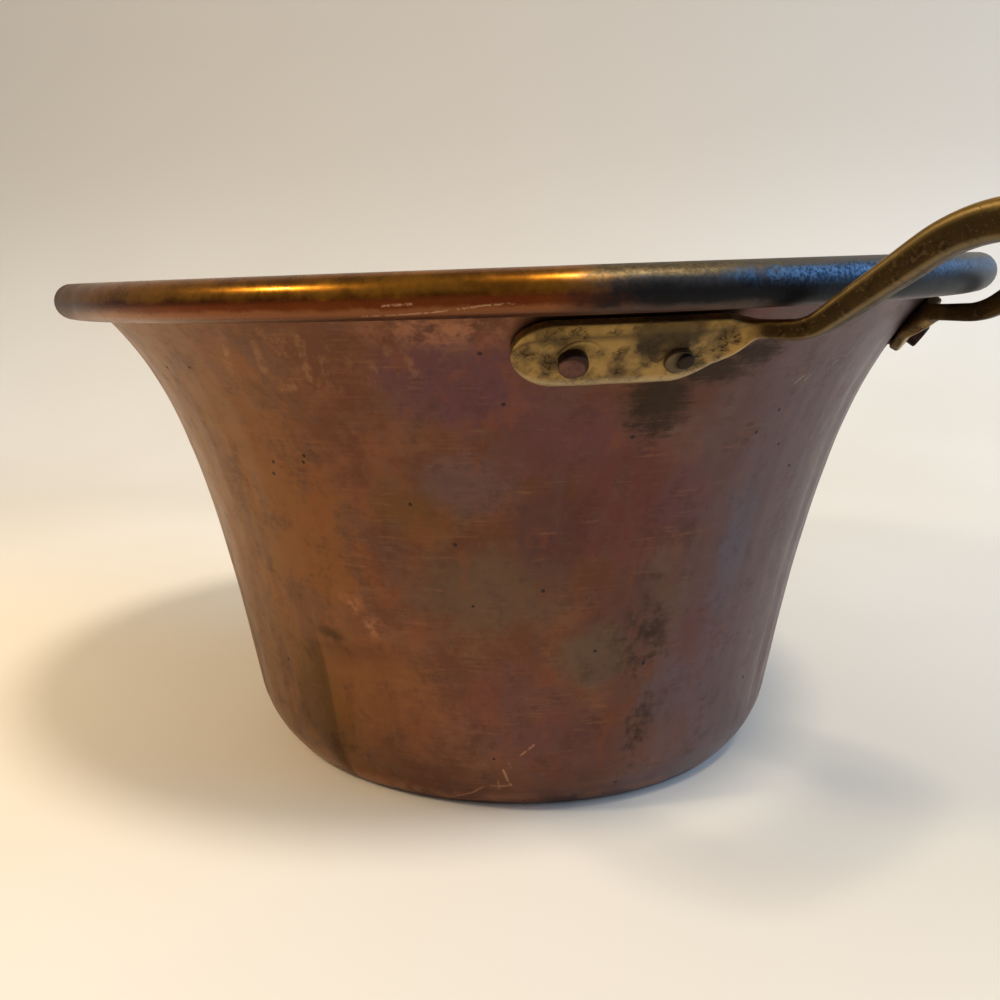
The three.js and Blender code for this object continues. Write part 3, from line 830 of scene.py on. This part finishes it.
# The roll is rubbed smooth and amber, with a painted dark reflection as a red line and a painted floor
# reflection rosy beneath; by the handle it is dusty, blue partly from heat tint and partly as a painted sky
# reflection, with a painted sheen along the crest and painted shade below
def roll_look(g, s):
    up = s.z - ROLL_UNDERSIDE + (s.other - 0.5) * 0.0030
    worn = g.ramp(s.mottle + (s.fine - 0.5) * 0.3, 0.35, 0.65)
    amber = g.blend(worn, AMBER_DARK, AMBER)
    # Painted reflections: a dark red line where the dark room would show, rosy where the lit floor would
    amber = g.blend(g.ramp(up, *RED_BAND) * 0.94, amber, ROLL_RED)
    amber = g.blend(g.ramp(up, *ROSY_BAND) * 0.9, amber, ROSY)
    scratch = s.lines(ROLL_SCRATCHES, 0.55, (s.fine - 0.5) * 0.0018, roll_mark) * g.ramp(s.fine, 0.40, 0.62)
    amber = g.blend(scratch * 0.40, amber, ROLL_SCRATCH)
    left_end = g.ramp(-s.rightward, 0.70, 0.95)
    amber = g.blend(left_end * 0.9, amber, LEFT_END)
    heat = g.ramp(s.to_handle + (s.mottle - 0.5) * 0.10 + (s.fine - 0.5) * 0.06, 0.765, 0.845)
    blue = g.ramp(s.to_handle + (s.mottle - 0.5) * 0.08 + (s.fine - 0.5) * 0.10, 0.895, 0.950)
    speckle = g.ramp(s.dust * 0.8 + s.fine * 0.35, 0.46, 0.70)
    # Dust, tan along the crest as painted light from above
    dusty = g.blend(g.ramp(up, *DUST_SHEEN_CREST), DUST_GREY, DUST_AND_CREST_SHEEN)
    dusty = g.blend(speckle * 0.6, dusty, DUST_DARK)
    # Blue, partly heat tint and partly a painted reflection of blue sky; grey along the crest as a painted
    # sheen
    tint_and_sheen = g.blend(speckle, NAVY, HEAT_TINT_AND_SKY_SHEEN)
    tint_and_sheen = g.blend(g.ramp(up, *BLUE_CREST), tint_and_sheen, CREST_GREY)
    handle_side = g.blend(blue, dusty, tint_and_sheen)
    # A painted black band of shade, and a painted rosy floor reflection at the underside
    handle_side = g.blend(g.ramp(up, *ROLL_SHADE_BAND) * 0.95, handle_side, ROLL_PAINTED_SHADE)
    handle_side = g.blend(g.ramp(up, *ROSE_BAND) * (1.0 - blue) * 0.8, handle_side, LOW_ROSE_REFLECTION)
    return g.blend(heat, amber, handle_side), heat, left_end


def copper_skin():
    material, g = new_material("aged_copper")
    s = Skin(g)
    colour = wear_stains_and_highlight(g, s, patina(g, s))
    dark = dark_marks_and_painted_shade(g, s)
    colour = g.blend(dark * 0.9, colour, DARKENING)
    pit = pitted(g, s)
    colour = g.blend(pit * 0.8, colour, PIT_BLACK)
    on_roll = g.ramp(s.z, *ROLL_SEAM) * g.ramp(s.outward, *ROLL_FROM)
    roll_colour, heat, left_end = roll_look(g, s)
    colour = g.blend(on_roll, colour, roll_colour)
    nx, ny, nz = g.parts(g.node("ShaderNodeNewGeometry").outputs["Normal"])
    inward = g.ramp((nx * s.x + ny * s.y) / s.outward - nz * 0.3, 0.02, -0.08) * (1.0 - on_roll)
    scoured = g.blend(g.ramp(s.mottle * 0.6 + s.wide * 0.5, 0.4, 0.75), SCOURED, SCOURED_DARK)
    colour = g.blend(inward, colour, scoured)
    rubbed_smooth = on_roll * (0.15 - heat * 0.20 - left_end * 0.30)
    rough = 0.27 + s.other * 0.24 + s.fine * 0.08 + dark * 0.25 + pit * 0.3 - rubbed_smooth
    metal = 1.0 - dark * 0.15 - pit * 0.6
    height = s.rubbed * 0.10 + s.brushed * 0.05 + s.fine * 0.22 - pit * 1.2 + s.other * 0.30
    coat = on_roll * (1.0 - heat) * (1.0 - left_end) * 0.12
    finish_material(g, colour, rough, metal, height * (1.0 - on_roll * 0.7), COPPER_BUMP, coat)
    return material


def brass_skin():
    material, g = new_material("aged_brass")
    position = g.node("ShaderNodeTexCoord").outputs["Object"]
    x, y, z = g.parts(position)
    outward = g.maths("SQRT", x * x + y * y)
    wide = g.noise(position, 60.0, 3.0, 0.6)
    mottle = g.noise(position, 190.0, 5.0, 0.65)
    fine = g.noise(position, 900.0, 3.0, 0.6)
    marks = [g.node("ShaderNodeAttribute", {"attribute_name": name}) for name in SECTION_MARKS]
    upper_edge, lower_edge, top_side = [Num(g, mark.outputs["Fac"]) for mark in marks]
    on_bar = g.ramp(outward + (wide - 0.5) * 0.006, *BAR_FROM)
    on_pad = 1.0 - on_bar
    colour = g.blend(g.ramp(wide * 0.5 + mottle * 0.6, 0.42, 0.72), PAD_YELLOW, PAD_OLIVE)
    wash = g.ramp(wide + (mottle - 0.5) * 0.5, 0.44, 0.66)
    colour = g.blend(wash * 0.40, colour, PAD_WASH)
    tarnish = g.ramp(mottle * 0.6 + wide * 0.55 + fine * 0.1, 0.55, 0.78)
    colour = g.blend(tarnish * 0.7, colour, TARNISH)
    strayed = g.joined((mottle - 0.5) * 0.008, (wide - 0.5) * 0.008, (mottle - 0.5) * 0.006)
    bent = g.vector("ADD", position, strayed)
    crack = g.ramp(g.cells(bent, 420.0, "DISTANCE_TO_EDGE"), 0.075, 0.025) * g.ramp(mottle, 0.49, 0.60)
    colour = g.blend(crack * 0.8, colour, CRACK)
    colour = g.blend(on_bar * 0.92, colour, BAR_BROWN)
    worn = g.ramp(fine + (mottle - 0.5) * 0.7, 0.52, 0.74) * on_bar
    colour = g.blend(worn * 0.40, colour, BAR_WORN)
    groove = None
    for sign in (-1.0, 1.0):
        # A darker zone near each pad's upper edge, above the inner rivet
        pad_dark = near(g, position, pad_mark(sign, *PAD_DARKENING_PLACE), PAD_DARKENING_REACH, 0.35)
        broken = pad_dark + (mottle - 0.5) * 0.7 + (wide - 0.5) * 0.8
        pad_dark = g.ramp(broken, 0.15, 1.00) * g.ramp(pad_dark, 0.0, 0.3)
        colour = g.blend(pad_dark * 0.90, colour, PAD_DARKENING)
        offset = g.vector("SUBTRACT", position, pad_mark(sign, *GROOVE_PLACE))
        above = g.ramp(g.parts(offset)[2], *GROOVE_ABOVE)
        off_ring = g.maths("ABSOLUTE", g.measure("LENGTH", offset) - GROOVE_RADIUS)
        ring = g.ramp(off_ring, *GROOVE_WIDTH) * above
        groove = ring if groove is None else groove + ring
    # The bar's top towards the grip: polished, and lighter still as a painted highlight
    polish_and_highlight = top_side * on_bar * g.ramp(outward, *POLISH_AND_HIGHLIGHT_RUN, 0.45, 1.0)
    colour = g.blend(polish_and_highlight * 0.9, colour, POLISH_AND_HIGHLIGHT)
    # The bar's upper edge: worn bright, with a painted highlight
    colour = g.blend(upper_edge * on_bar * 0.7, colour, BRIGHT_EDGE)
    # A painted shadow of the roll along each pad's upper edge
    colour = g.blend(upper_edge * on_pad * 0.7, colour, DARK_EDGE)
    # A painted reflection of the floor along the lower edges, mostly on the pads
    colour = g.blend(lower_edge * (0.65 - on_bar * 0.40), colour, PALE_EDGE)
    rough = 0.40 + mottle * 0.18 + tarnish * 0.15 - polish_and_highlight * 0.15 - lower_edge * 0.08
    height = mottle * 0.5 + fine * 0.15 - tarnish * 0.3 - groove * 0.4 - crack * 0.4
    finish_material(g, colour, rough, 1.0 - tarnish * 0.1, height, BRASS_BUMP)
    return material


# Rivets: dull copper with painted shade round one side of the head; the peened one has a brassy collar and
# black tip
def rivet_skin():
    material, g = new_material("rivet_copper")
    position = g.node("ShaderNodeTexCoord").outputs["Object"]
    mottle = g.noise(position, 420.0, 4.0, 0.6)
    wide = g.noise(position, 120.0, 2.0)
    colour = g.blend(g.ramp(mottle, 0.35, 0.7), RIVET_BROWN, RIVET_DARK)
    colour = g.blend(g.ramp(wide, 0.5, 0.7) * 0.5, colour, RIVET_ROSE)
    bright = near(g, position, tuple(OUTER_FACE), (BRIGHT_REACH,) * 3, 0.55)
    # Painted shade round the outer head, leaving its bright side
    shaded = near(g, position, tuple(OUTER_FACE), (SHADE_REACH,) * 3, 0.9) * (1.0 - bright)
    shaded = g.ramp(shaded + (mottle - 0.5) * 0.5, 0.2, 0.9)
    colour = g.blend(shaded * 0.85, colour, RIVET_SHADE)
    collar = near(g, position, tuple(PEENED_TIP), (COLLAR_REACH,) * 3, 0.9)
    colour = g.blend(collar, colour, g.blend(mottle, COLLAR, COLLAR_DARK))
    tip = near(g, position, tuple(PEENED_TIP), (TIP_REACH,) * 3, 0.60)
    colour = g.blend(tip * 0.9, colour, PEENED_BLACK)
    far_side = g.ramp(g.parts(position)[1], *FAR_SIDE)
    colour = g.blend(far_side * 0.75, colour, FAR_RIVET)
    metal = 1.0 - g.ramp(mottle, 0.5, 0.8) * 0.3
    finish_material(g, colour, 0.42 + mottle * 0.2, metal, mottle, RIVET_BUMP)
    return material


def iron_skin():
    material, g = new_material("rim_iron")
    position = g.node("ShaderNodeTexCoord").outputs["Object"]
    scale = g.noise(position, 300.0, 4.0, 0.6)
    colour = g.blend(g.ramp(scale, 0.4, 0.65), IRON, RUST)
    finish_material(g, colour, 0.6 + scale * 0.25, 0.8, scale, IRON_BUMP)
    return material


# The handle's section: points round a squared ellipse, spread evenly along its sides
def section(squareness):
    edge = np.linspace(-1, 1, SECTION_STEPS, endpoint=False)
    one = np.ones_like(edge)
    square = np.concatenate([
        np.stack([one, edge], -1), np.stack([-edge, one], -1),
        np.stack([-one, -edge], -1), np.stack([edge, -one], -1),
    ])
    reach = (np.abs(square) ** squareness).sum(1) ** (-1 / squareness)
    return square * reach[:, None]


# Marks round a section: quarter turns from the outer lower corner, steps past that, and the spread in steps
SECTION_MARKS = {"upper_edge": (1, -2, 0.9), "lower_edge": (0, -0.5, 1.8), "top_side": (1, 4, 6.0)}


def section_marks(around):
    """How near each point of a section is to its outer upper and lower corners and to its upper side."""
    step = np.arange(around)
    marks = {}
    for name, (quarters, past, spread) in SECTION_MARKS.items():
        place = quarters * around // 4 + past
        gap = np.abs((step - place + around / 2) % around - around / 2)
        marks[name] = np.exp(-((gap / spread) ** 4))
    return marks


NECK_LEVEL = ROLL_UNDERSIDE - NECK_DROP
NECK_RADIUS, NECK_ACROSS, NECK_UP = wall_at(NECK_LEVEL)
NECK_OFF = PAD_CLEARANCE + PAD_THICKNESS / 2
NECK_PLACE = np.array([NECK_RADIUS + NECK_ACROSS * NECK_OFF, NECK_LEVEL + NECK_UP * NECK_OFF])
NECK_TILT = math.atan2(-NECK_UP, NECK_ACROSS)
NECK_ANGLE = math.asin((ARM_SIDE + NECK_BEND) / (NECK_PLACE[0] + NECK_BEND))
PAD_TOP = ROLL_UNDERSIDE - PAD_UNDER_ROLL
PAD_BOTTOM = PAD_TOP - PAD_DEPTH


def angle_from_tip(distance):
    return NECK_ANGLE + (PAD_LENGTH - distance) / NECK_PLACE[0]


def pad_mark(sign, distance, drop):
    """A place on a pad's face by its distance from the tip and below the upper edge, in millimetres."""
    off = PAD_CLEARANCE + PAD_THICKNESS
    return tuple(off_wall(PAD_TOP - drop * MM, sign * angle_from_tip(distance * MM), off))


def pad_ring(distance, outline):
    tip_level = PAD_BOTTOM + PAD_DEPTH * PAD_TIP_RISE
    opened = math.sqrt(1 - (1 - min(distance / PAD_TIP_ROUND, 1)) ** 2)
    swept = smooth((distance - PAD_LENGTH - SWEEP_PAST_NECK) / PAD_SWEEP + 1)
    upper = mix(tip_level, PAD_TOP, opened)
    lower = mix(mix(tip_level, PAD_BOTTOM, opened), NECK_LEVEL - NECK_HEIGHT / 2, swept)
    level = mix(lower, upper, (1 + outline[:, 1]) / 2)
    off = PAD_CLEARANCE + PAD_THICKNESS * (1 + outline[:, 0]) / 2
    return off_wall(level, angle_from_tip(distance), off)


def bend_place(share):
    facing = mix(NECK_ANGLE, math.pi / 2, share)
    tilt = NECK_TILT * (1 - smooth(share))
    heading = np.array([math.cos(facing), math.sin(facing), 0.0])
    up = np.array([0.0, 0.0, 1.0])
    pivot = (NECK_PLACE[0] + NECK_BEND) * np.array([math.cos(NECK_ANGLE), math.sin(NECK_ANGLE), 0.0])
    centre = pivot - NECK_BEND * heading + NECK_PLACE[1] * up
    across = heading * math.cos(tilt) - up * math.sin(tilt)
    upright = heading * math.sin(tilt) + up * math.cos(tilt)
    return centre, across, upright


def arm_path(steps):
    """Points along the arm, evenly spaced: under the roll, up the slope, level, and round to mid-grip."""
    start = bend_place(1.0)[0]
    foot = math.sqrt(SOLID_RIM_RADIUS**2 - ARM_SIDE**2) - RISE_START
    crest = foot + (GRIP_LEVEL - start[2]) / math.tan(RISE_ANGLE)
    knots = np.array([
        start, (foot, ARM_SIDE, start[2]), (crest, ARM_SIDE, GRIP_LEVEL),
        (GRIP_REACH - GRIP_BOW, ARM_SIDE, GRIP_LEVEL), (GRIP_REACH, 0.0, GRIP_LEVEL),
    ])
    points = [knots[:1]]
    for i, fillet in enumerate(ARM_FILLETS):
        before, knot, after = knots[i:i + 3]
        enter = mix(knot, before, min(fillet / np.linalg.norm(knot - before), 0.5))
        leave = mix(knot, after, min(fillet / np.linalg.norm(after - knot), 0.5))
        t = np.linspace(0, 1, FILLET_STEPS)[:, None]
        points.append((1 - t) ** 2 * enter + 2 * (1 - t) * t * knot + t**2 * leave)
    points.append(knots[-1:])
    line = np.concatenate(points)
    run = np.concatenate([[0], np.cumsum(np.linalg.norm(np.diff(line, axis=0), axis=1))])
    even = np.linspace(0, run[-1], steps + 1)
    return np.stack([np.interp(even, run, line[:, k]) for k in range(3)], -1)


def handle_mesh():
    flat = section(PAD_SQUARENESS)
    bar = section(BAR_SQUARENESS)
    shares = (1 - np.cos(np.pi * np.arange(PAD_STEPS + 1) / PAD_STEPS)) / 2
    rings = [pad_ring(mix(TIP_STEP, PAD_LENGTH, s), flat) for s in shares]
    centre, across, upright = bend_place(0.0)
    seam = np.stack([(rings[-1] - centre) @ across, (rings[-1] - centre) @ upright], -1)
    neck = bar * np.array([NECK_WIDTH, NECK_HEIGHT]) / 2
    for i in range(1, BEND_STEPS + 1):
        centre, across, upright = bend_place(i / BEND_STEPS)
        shape = mix(seam, neck, eased(i / BEND_STEPS * NECK_HASTE))
        rings.append(centre + shape[:, :1] * across + shape[:, 1:] * upright)
    path = arm_path(ARM_STEPS)
    along = np.gradient(path, axis=0)
    along[-1] = (0.0, -1.0, 0.0)
    along /= np.linalg.norm(along, axis=1)[:, None]
    for i in range(1, ARM_STEPS + 1):
        upright = np.array([0.0, 0.0, 1.0]) - along[i, 2] * along[i]
        upright /= np.linalg.norm(upright)
        across = np.cross(upright, along[i])
        swell = math.sin(i / ARM_STEPS * math.pi / 2)
        size = np.array([mix(NECK_WIDTH, GRIP_WIDTH, swell), mix(NECK_HEIGHT, GRIP_HEIGHT, swell)]) / 2
        shape = bar * size
        rings.append(path[i] + shape[:, :1] * across + shape[:, 1:] * upright)
    rings = np.array(rings)
    rings = np.concatenate([rings, rings[-2::-1] * np.array([1.0, -1.0, 1.0])])
    count, around = rings.shape[:2]
    points = np.concatenate([rings.reshape(-1, 3), rings[0].mean(0)[None], rings[-1].mean(0)[None]])
    faces = []
    for i in range(count - 1):
        for j in range(around):
            k = (j + 1) % around
            faces.append((i * around + j, i * around + k, (i + 1) * around + k, (i + 1) * around + j))
    for j in range(around):
        k = (j + 1) % around
        faces.append((count * around, k, j))
        faces.append((count * around + 1, (count - 1) * around + j, (count - 1) * around + k))
    mesh = mesh_of("loop_handle_skin", points, faces)
    for name, values in section_marks(around).items():
        mark = mesh.attributes.new(name, "FLOAT", "POINT")
        with_ends = np.concatenate([np.tile(values, count), [0.0, 0.0]])
        mark.data.foreach_set("value", with_ends.astype(np.float32))
    return mesh


def unevenness(mesh, scale, depth):
    """Pushes each point in along its normal by a smooth noise, as hand forging leaves it."""
    normals = [vertex.normal.copy() for vertex in mesh.vertices]
    for vertex, normal in zip(mesh.vertices, normals):
        amount = noise.noise(Vector(vertex.co) * scale)
        vertex.co -= normal * depth * (0.5 + 0.5 * amount)


def shade_smooth(mesh):
    mesh.polygons.foreach_set("use_smooth", np.ones(len(mesh.polygons), dtype=bool))


def dented(mesh):
    places = np.empty(len(mesh.vertices) * 3)
    mesh.vertices.foreach_get("co", places)
    places = places.reshape(-1, 3)
    level = places[:, 2] / MM
    side = np.degrees(np.arctan2(places[:, 1], places[:, 0]) - VIEW_ANGLE)
    line = np.interp(level, [DENT_FOOT[1], DENT_HEAD[1]], [DENT_FOOT[0], DENT_HEAD[0]])
    reach = np.hypot(places[:, 0], places[:, 1])
    past = np.maximum(np.radians(side - line) * reach / DENT_REACH, 0.0)
    shape = past * np.exp(1 - past)
    fade = smooth((level - DENT_FOOT[1]) / DENT_CROWN) * smooth((DENT_HEAD[1] - level) / DENT_CROWN)
    wall = reach > DENT_FROM_RADIUS
    push = np.where(wall, DENT_DEPTH * shape * fade, 0.0)
    places[:, :2] *= (1 - push / np.maximum(reach, MM))[:, None]
    mesh.vertices.foreach_set("co", places.reshape(-1))


# Vessel
def vessel():
    radii = np.linspace(0, BASE_FLAT_RADIUS, BASE_ROWS + 1)[:-1]
    level = np.zeros(BASE_ROWS)
    base = np.stack([radii, level + SHEET / 2, level, level - 1.0], -1)
    wall = wall_rows(np.linspace(0, 1, WALL_ROWS + 1))[1:]
    rows = np.concatenate([base, TOE, HEEL[1:], wall, CURL[1:]])
    outer = rows[:, :2] + rows[:, 2:] * SHEET / 2
    inner = (rows[:, :2] - rows[:, 2:] * SHEET / 2)[::-2]
    floor_centre = [[0.0, SHEET]]
    outline = np.concatenate([outer, inner, floor_centre])
    outline[:, 0] = np.maximum(outline[:, 0], 0.0)
    mesh = turned_mesh("pot_skin", outline, copper_skin(), VESSEL_RELIEF)
    dented(mesh)
    shade_smooth(mesh)
    piece = add_object("pot_skin", mesh)
    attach(piece, "root")
    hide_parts("pot_body")


def handle():
    mesh = handle_mesh()
    unevenness(mesh, FORGED_FINENESS, FORGED_DEPTH)
    shade_smooth(mesh)
    mesh.materials.append(brass_skin())
    piece = add_object("handle_skin", mesh)
    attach(piece, "root")
    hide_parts("loop_handle")


# Rivets: the same turning group with a rivet's outline, then stood on the wall
def rivet_outline(peened):
    inside = -SHEET + TAIL_BITE
    outside = PAD_CLEARANCE + PAD_THICKNESS - HEAD_SINK
    top = outside + SET_HEAD_HEIGHT
    r = SET_HEAD_RADIUS
    head = [(r * 0.98, outside), (r, outside + 0.5 * MM)]
    if peened:
        collar = outside + SET_HEAD_HEIGHT * COLLAR_SHARE
        head += [(r * 0.97, collar - 0.4 * MM), (r * 0.88, collar), (r * 0.64, collar + 0.05 * MM)]
        head += [(r * 0.60, collar + 0.3 * MM), (r * 0.58, top - 0.4 * MM), (r * 0.48, top - 0.08 * MM)]
    else:
        head += [(r, top - 0.6 * MM), (r * 0.97, top - 0.22 * MM), (r * 0.88, top - 0.04 * MM)]
        head.append((r * 0.5, top))
    head.append((0.0, top))
    deep = inside - INSIDE_HEAD_HEIGHT
    q = INSIDE_HEAD_RADIUS
    tail = [(0.0, deep), (q * 0.55, deep + 0.1 * MM), (q * 0.85, deep + 0.45 * MM)]
    tail += [(q * 0.98, deep + 1.1 * MM), (q, inside - 0.3 * MM), (q * 0.98, inside), (SHANK_RADIUS, inside)]
    return tail + [(SHANK_RADIUS, outside)] + head


def finer(outline, step):
    points = [np.array(outline[0])]
    for a, b in zip(outline[:-1], outline[1:]):
        a, b = np.array(a), np.array(b)
        count = max(1, math.ceil(np.linalg.norm(b - a) / step))
        points += [mix(a, b, i / count) for i in range(1, count + 1)]
    return points


OUTER_FACE = off_wall(
    PAD_TOP - OUTER_RIVET_DROP - BRIGHT_SHIFT[1], -angle_from_tip(RIVET_FROM_TIP - BRIGHT_SHIFT[0]),
    PAD_CLEARANCE + PAD_THICKNESS + SET_HEAD_HEIGHT - HEAD_SINK,
)
PEENED_TIP = off_wall(
    PAD_TOP - INNER_RIVET_DROP + TIP_SHIFT[1],
    TIP_SHIFT[0] / NECK_PLACE[0] - angle_from_tip(RIVET_FROM_TIP + RIVET_PITCH),
    PAD_CLEARANCE + PAD_THICKNESS + SET_HEAD_HEIGHT + TIP_STAIN_RISE,
)


def rivet(name, distance, drop, side, peened, seed, material):
    values = {**RIVET_RELIEF, "Seed": seed}
    mesh = turned_mesh(name + "_skin", finer(rivet_outline(peened), RIVET_FINENESS), material, values)
    if peened:
        collar = PAD_CLEARANCE + PAD_THICKNESS - HEAD_SINK + SET_HEAD_HEIGHT * COLLAR_SHARE
        for vertex in mesh.vertices:
            share = smooth((vertex.co.z - collar + TIP_LEAN_START) / TIP_LEAN_RUN)
            vertex.co.x += TIP_SHIFT[0] * share
            vertex.co.y += TIP_SHIFT[1] * share
    angle = side * angle_from_tip(distance)
    level = PAD_TOP - drop
    _, across, up = wall_at(level)
    axis = Vector((across * math.cos(angle), across * math.sin(angle), up))
    sideways = Vector((-math.sin(angle), math.cos(angle), 0.0))
    stand = Matrix((sideways, axis.cross(sideways), axis)).transposed().to_4x4()
    stand.translation = Vector(off_wall(level, angle, 0.0))
    mesh.transform(stand)
    shade_smooth(mesh)
    piece = add_object(name + "_skin", mesh)
    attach(piece, "root")
    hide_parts(name)


def rivets():
    material = rivet_skin()
    outer = (RIVET_FROM_TIP, OUTER_RIVET_DROP)
    inner = (RIVET_FROM_TIP + RIVET_PITCH, INNER_RIVET_DROP)
    rivet("rivet_near_outer", *outer, -1, False, 1.0, material)
    rivet("rivet_near_inner", *inner, -1, True, 2.0, material)
    rivet("rivet_far_inner", *inner, 1, False, 3.0, material)
    rivet("rivet_far_outer", *outer, 1, False, 4.0, material)


# Camera: where the photographer stood, with the frame shifted to the right of the lens's axis
def camera():
    pitch, yaw, roll = CAMERA_PITCH, CAMERA_YAW, CAMERA_ROLL
    data = bpy.data.cameras.new("view")
    data.sensor_width = SENSOR
    data.lens = LENS
    data.shift_x = FRAME_SHIFT
    data.clip_start = CLIP_START
    forward = Vector((math.sin(yaw) * math.cos(pitch), math.cos(yaw) * math.cos(pitch), -math.sin(pitch)))
    right = Vector((math.cos(yaw), -math.sin(yaw), 0.0))
    up = right.cross(forward)
    turned_right = right * math.cos(roll) + up * math.sin(roll)
    turned_up = up * math.cos(roll) - right * math.sin(roll)
    pose = Matrix((turned_right, turned_up, -forward)).transposed().to_4x4()
    pose.translation = Vector((0.0, -CAMERA_DISTANCE, CAMERA_HEIGHT))
    eye = bpy.data.objects.new("view", data)
    eye.matrix_world = Matrix.Rotation(math.pi / 2 + VIEW_ANGLE, 4, "Z") @ pose
    bpy.context.scene.collection.objects.link(eye)
    bpy.context.scene.camera = eye


# Floor that sweeps up into a backdrop behind the pot, seen from the camera's side
def stage():
    material, g = new_material("pale_floor")
    position = g.node("ShaderNodeTexCoord").outputs["Object"]
    tone = g.noise(position, 3.0, 2.0)
    colour = g.blend(g.ramp(tone, 0.3, 0.7), FLOOR_CREAM, FLOOR_PALE)
    height = g.parts(position)[2]
    # The backdrop darkens from the floor's colour as it rises: painted shade
    colour = g.blend(g.ramp(height, *BACKDROP_FADE), colour, BACKDROP_BEIGE)
    finish_material(g, colour, 0.8, 0.0)
    turn = np.linspace(0, math.pi / 2, SWEEP_STEPS + 1)
    sweep = SWEEP_START + SWEEP_RADIUS * np.sin(turn)
    depth = np.concatenate([[FLOOR_FRONT], sweep, [SWEEP_START + SWEEP_RADIUS]])
    rise = np.concatenate([[0.0], SWEEP_RADIUS * (1 - np.cos(turn)), [BACKDROP_TOP]]) - FLOOR_DROP
    sides = (-FLOOR_HALF_WIDTH, FLOOR_HALF_WIDTH)
    points = [(x, d, h) for x in sides for d, h in zip(depth, rise)]
    count = len(depth)
    faces = [(i, count + i, count + i + 1, i + 1) for i in range(count - 1)]
    mesh = mesh_of("backdrop", points, faces)
    mesh.transform(Matrix.Rotation(math.pi / 2 + VIEW_ANGLE, 4, "Z"))
    mesh.materials.append(material)
    shade_smooth(mesh)
    add_object("backdrop", mesh)


def lamp(name, from_view, elevation, distance, size, power, colour, mirrored):
    data = bpy.data.lights.new(name, "AREA")
    data.shape = "DISK"
    data.size = size
    data.energy = power
    data.color = colour
    angle = VIEW_ANGLE + math.radians(from_view)
    tilt = math.radians(elevation)
    level = math.cos(tilt)
    place = Vector((math.cos(angle) * level, math.sin(angle) * level, math.sin(tilt))) * distance
    light = bpy.data.objects.new(name, data)
    light.location = place + Vector((0.0, 0.0, POT_HEIGHT / 2))
    light.visible_glossy = mirrored
    light.rotation_euler = (-place).to_track_quat("-Z", "Y").to_euler()
    bpy.context.scene.collection.objects.link(light)


def lights():
    for row in LAMPS:
        lamp(*row)
    world = bpy.data.worlds.new("room")
    bpy.context.scene.world = world
    world.use_nodes = True
    tree = world.node_tree
    tree.nodes.clear()
    g = Graph(tree)
    background = g.node("ShaderNodeBackground", None, {"Color": ROOM_COLOUR, "Strength": ROOM_STRENGTH})
    g.node("ShaderNodeOutputWorld", None, {"Surface": background.outputs[0]})


def wire():
    node = bpy.data.objects["rim_wire"]
    node.data.materials.clear()
    node.data.materials.append(iron_skin())


bpy.context.scene.view_settings.view_transform = "Standard"
camera()
vessel()
handle()
rivets()
wire()
stage()
lights()
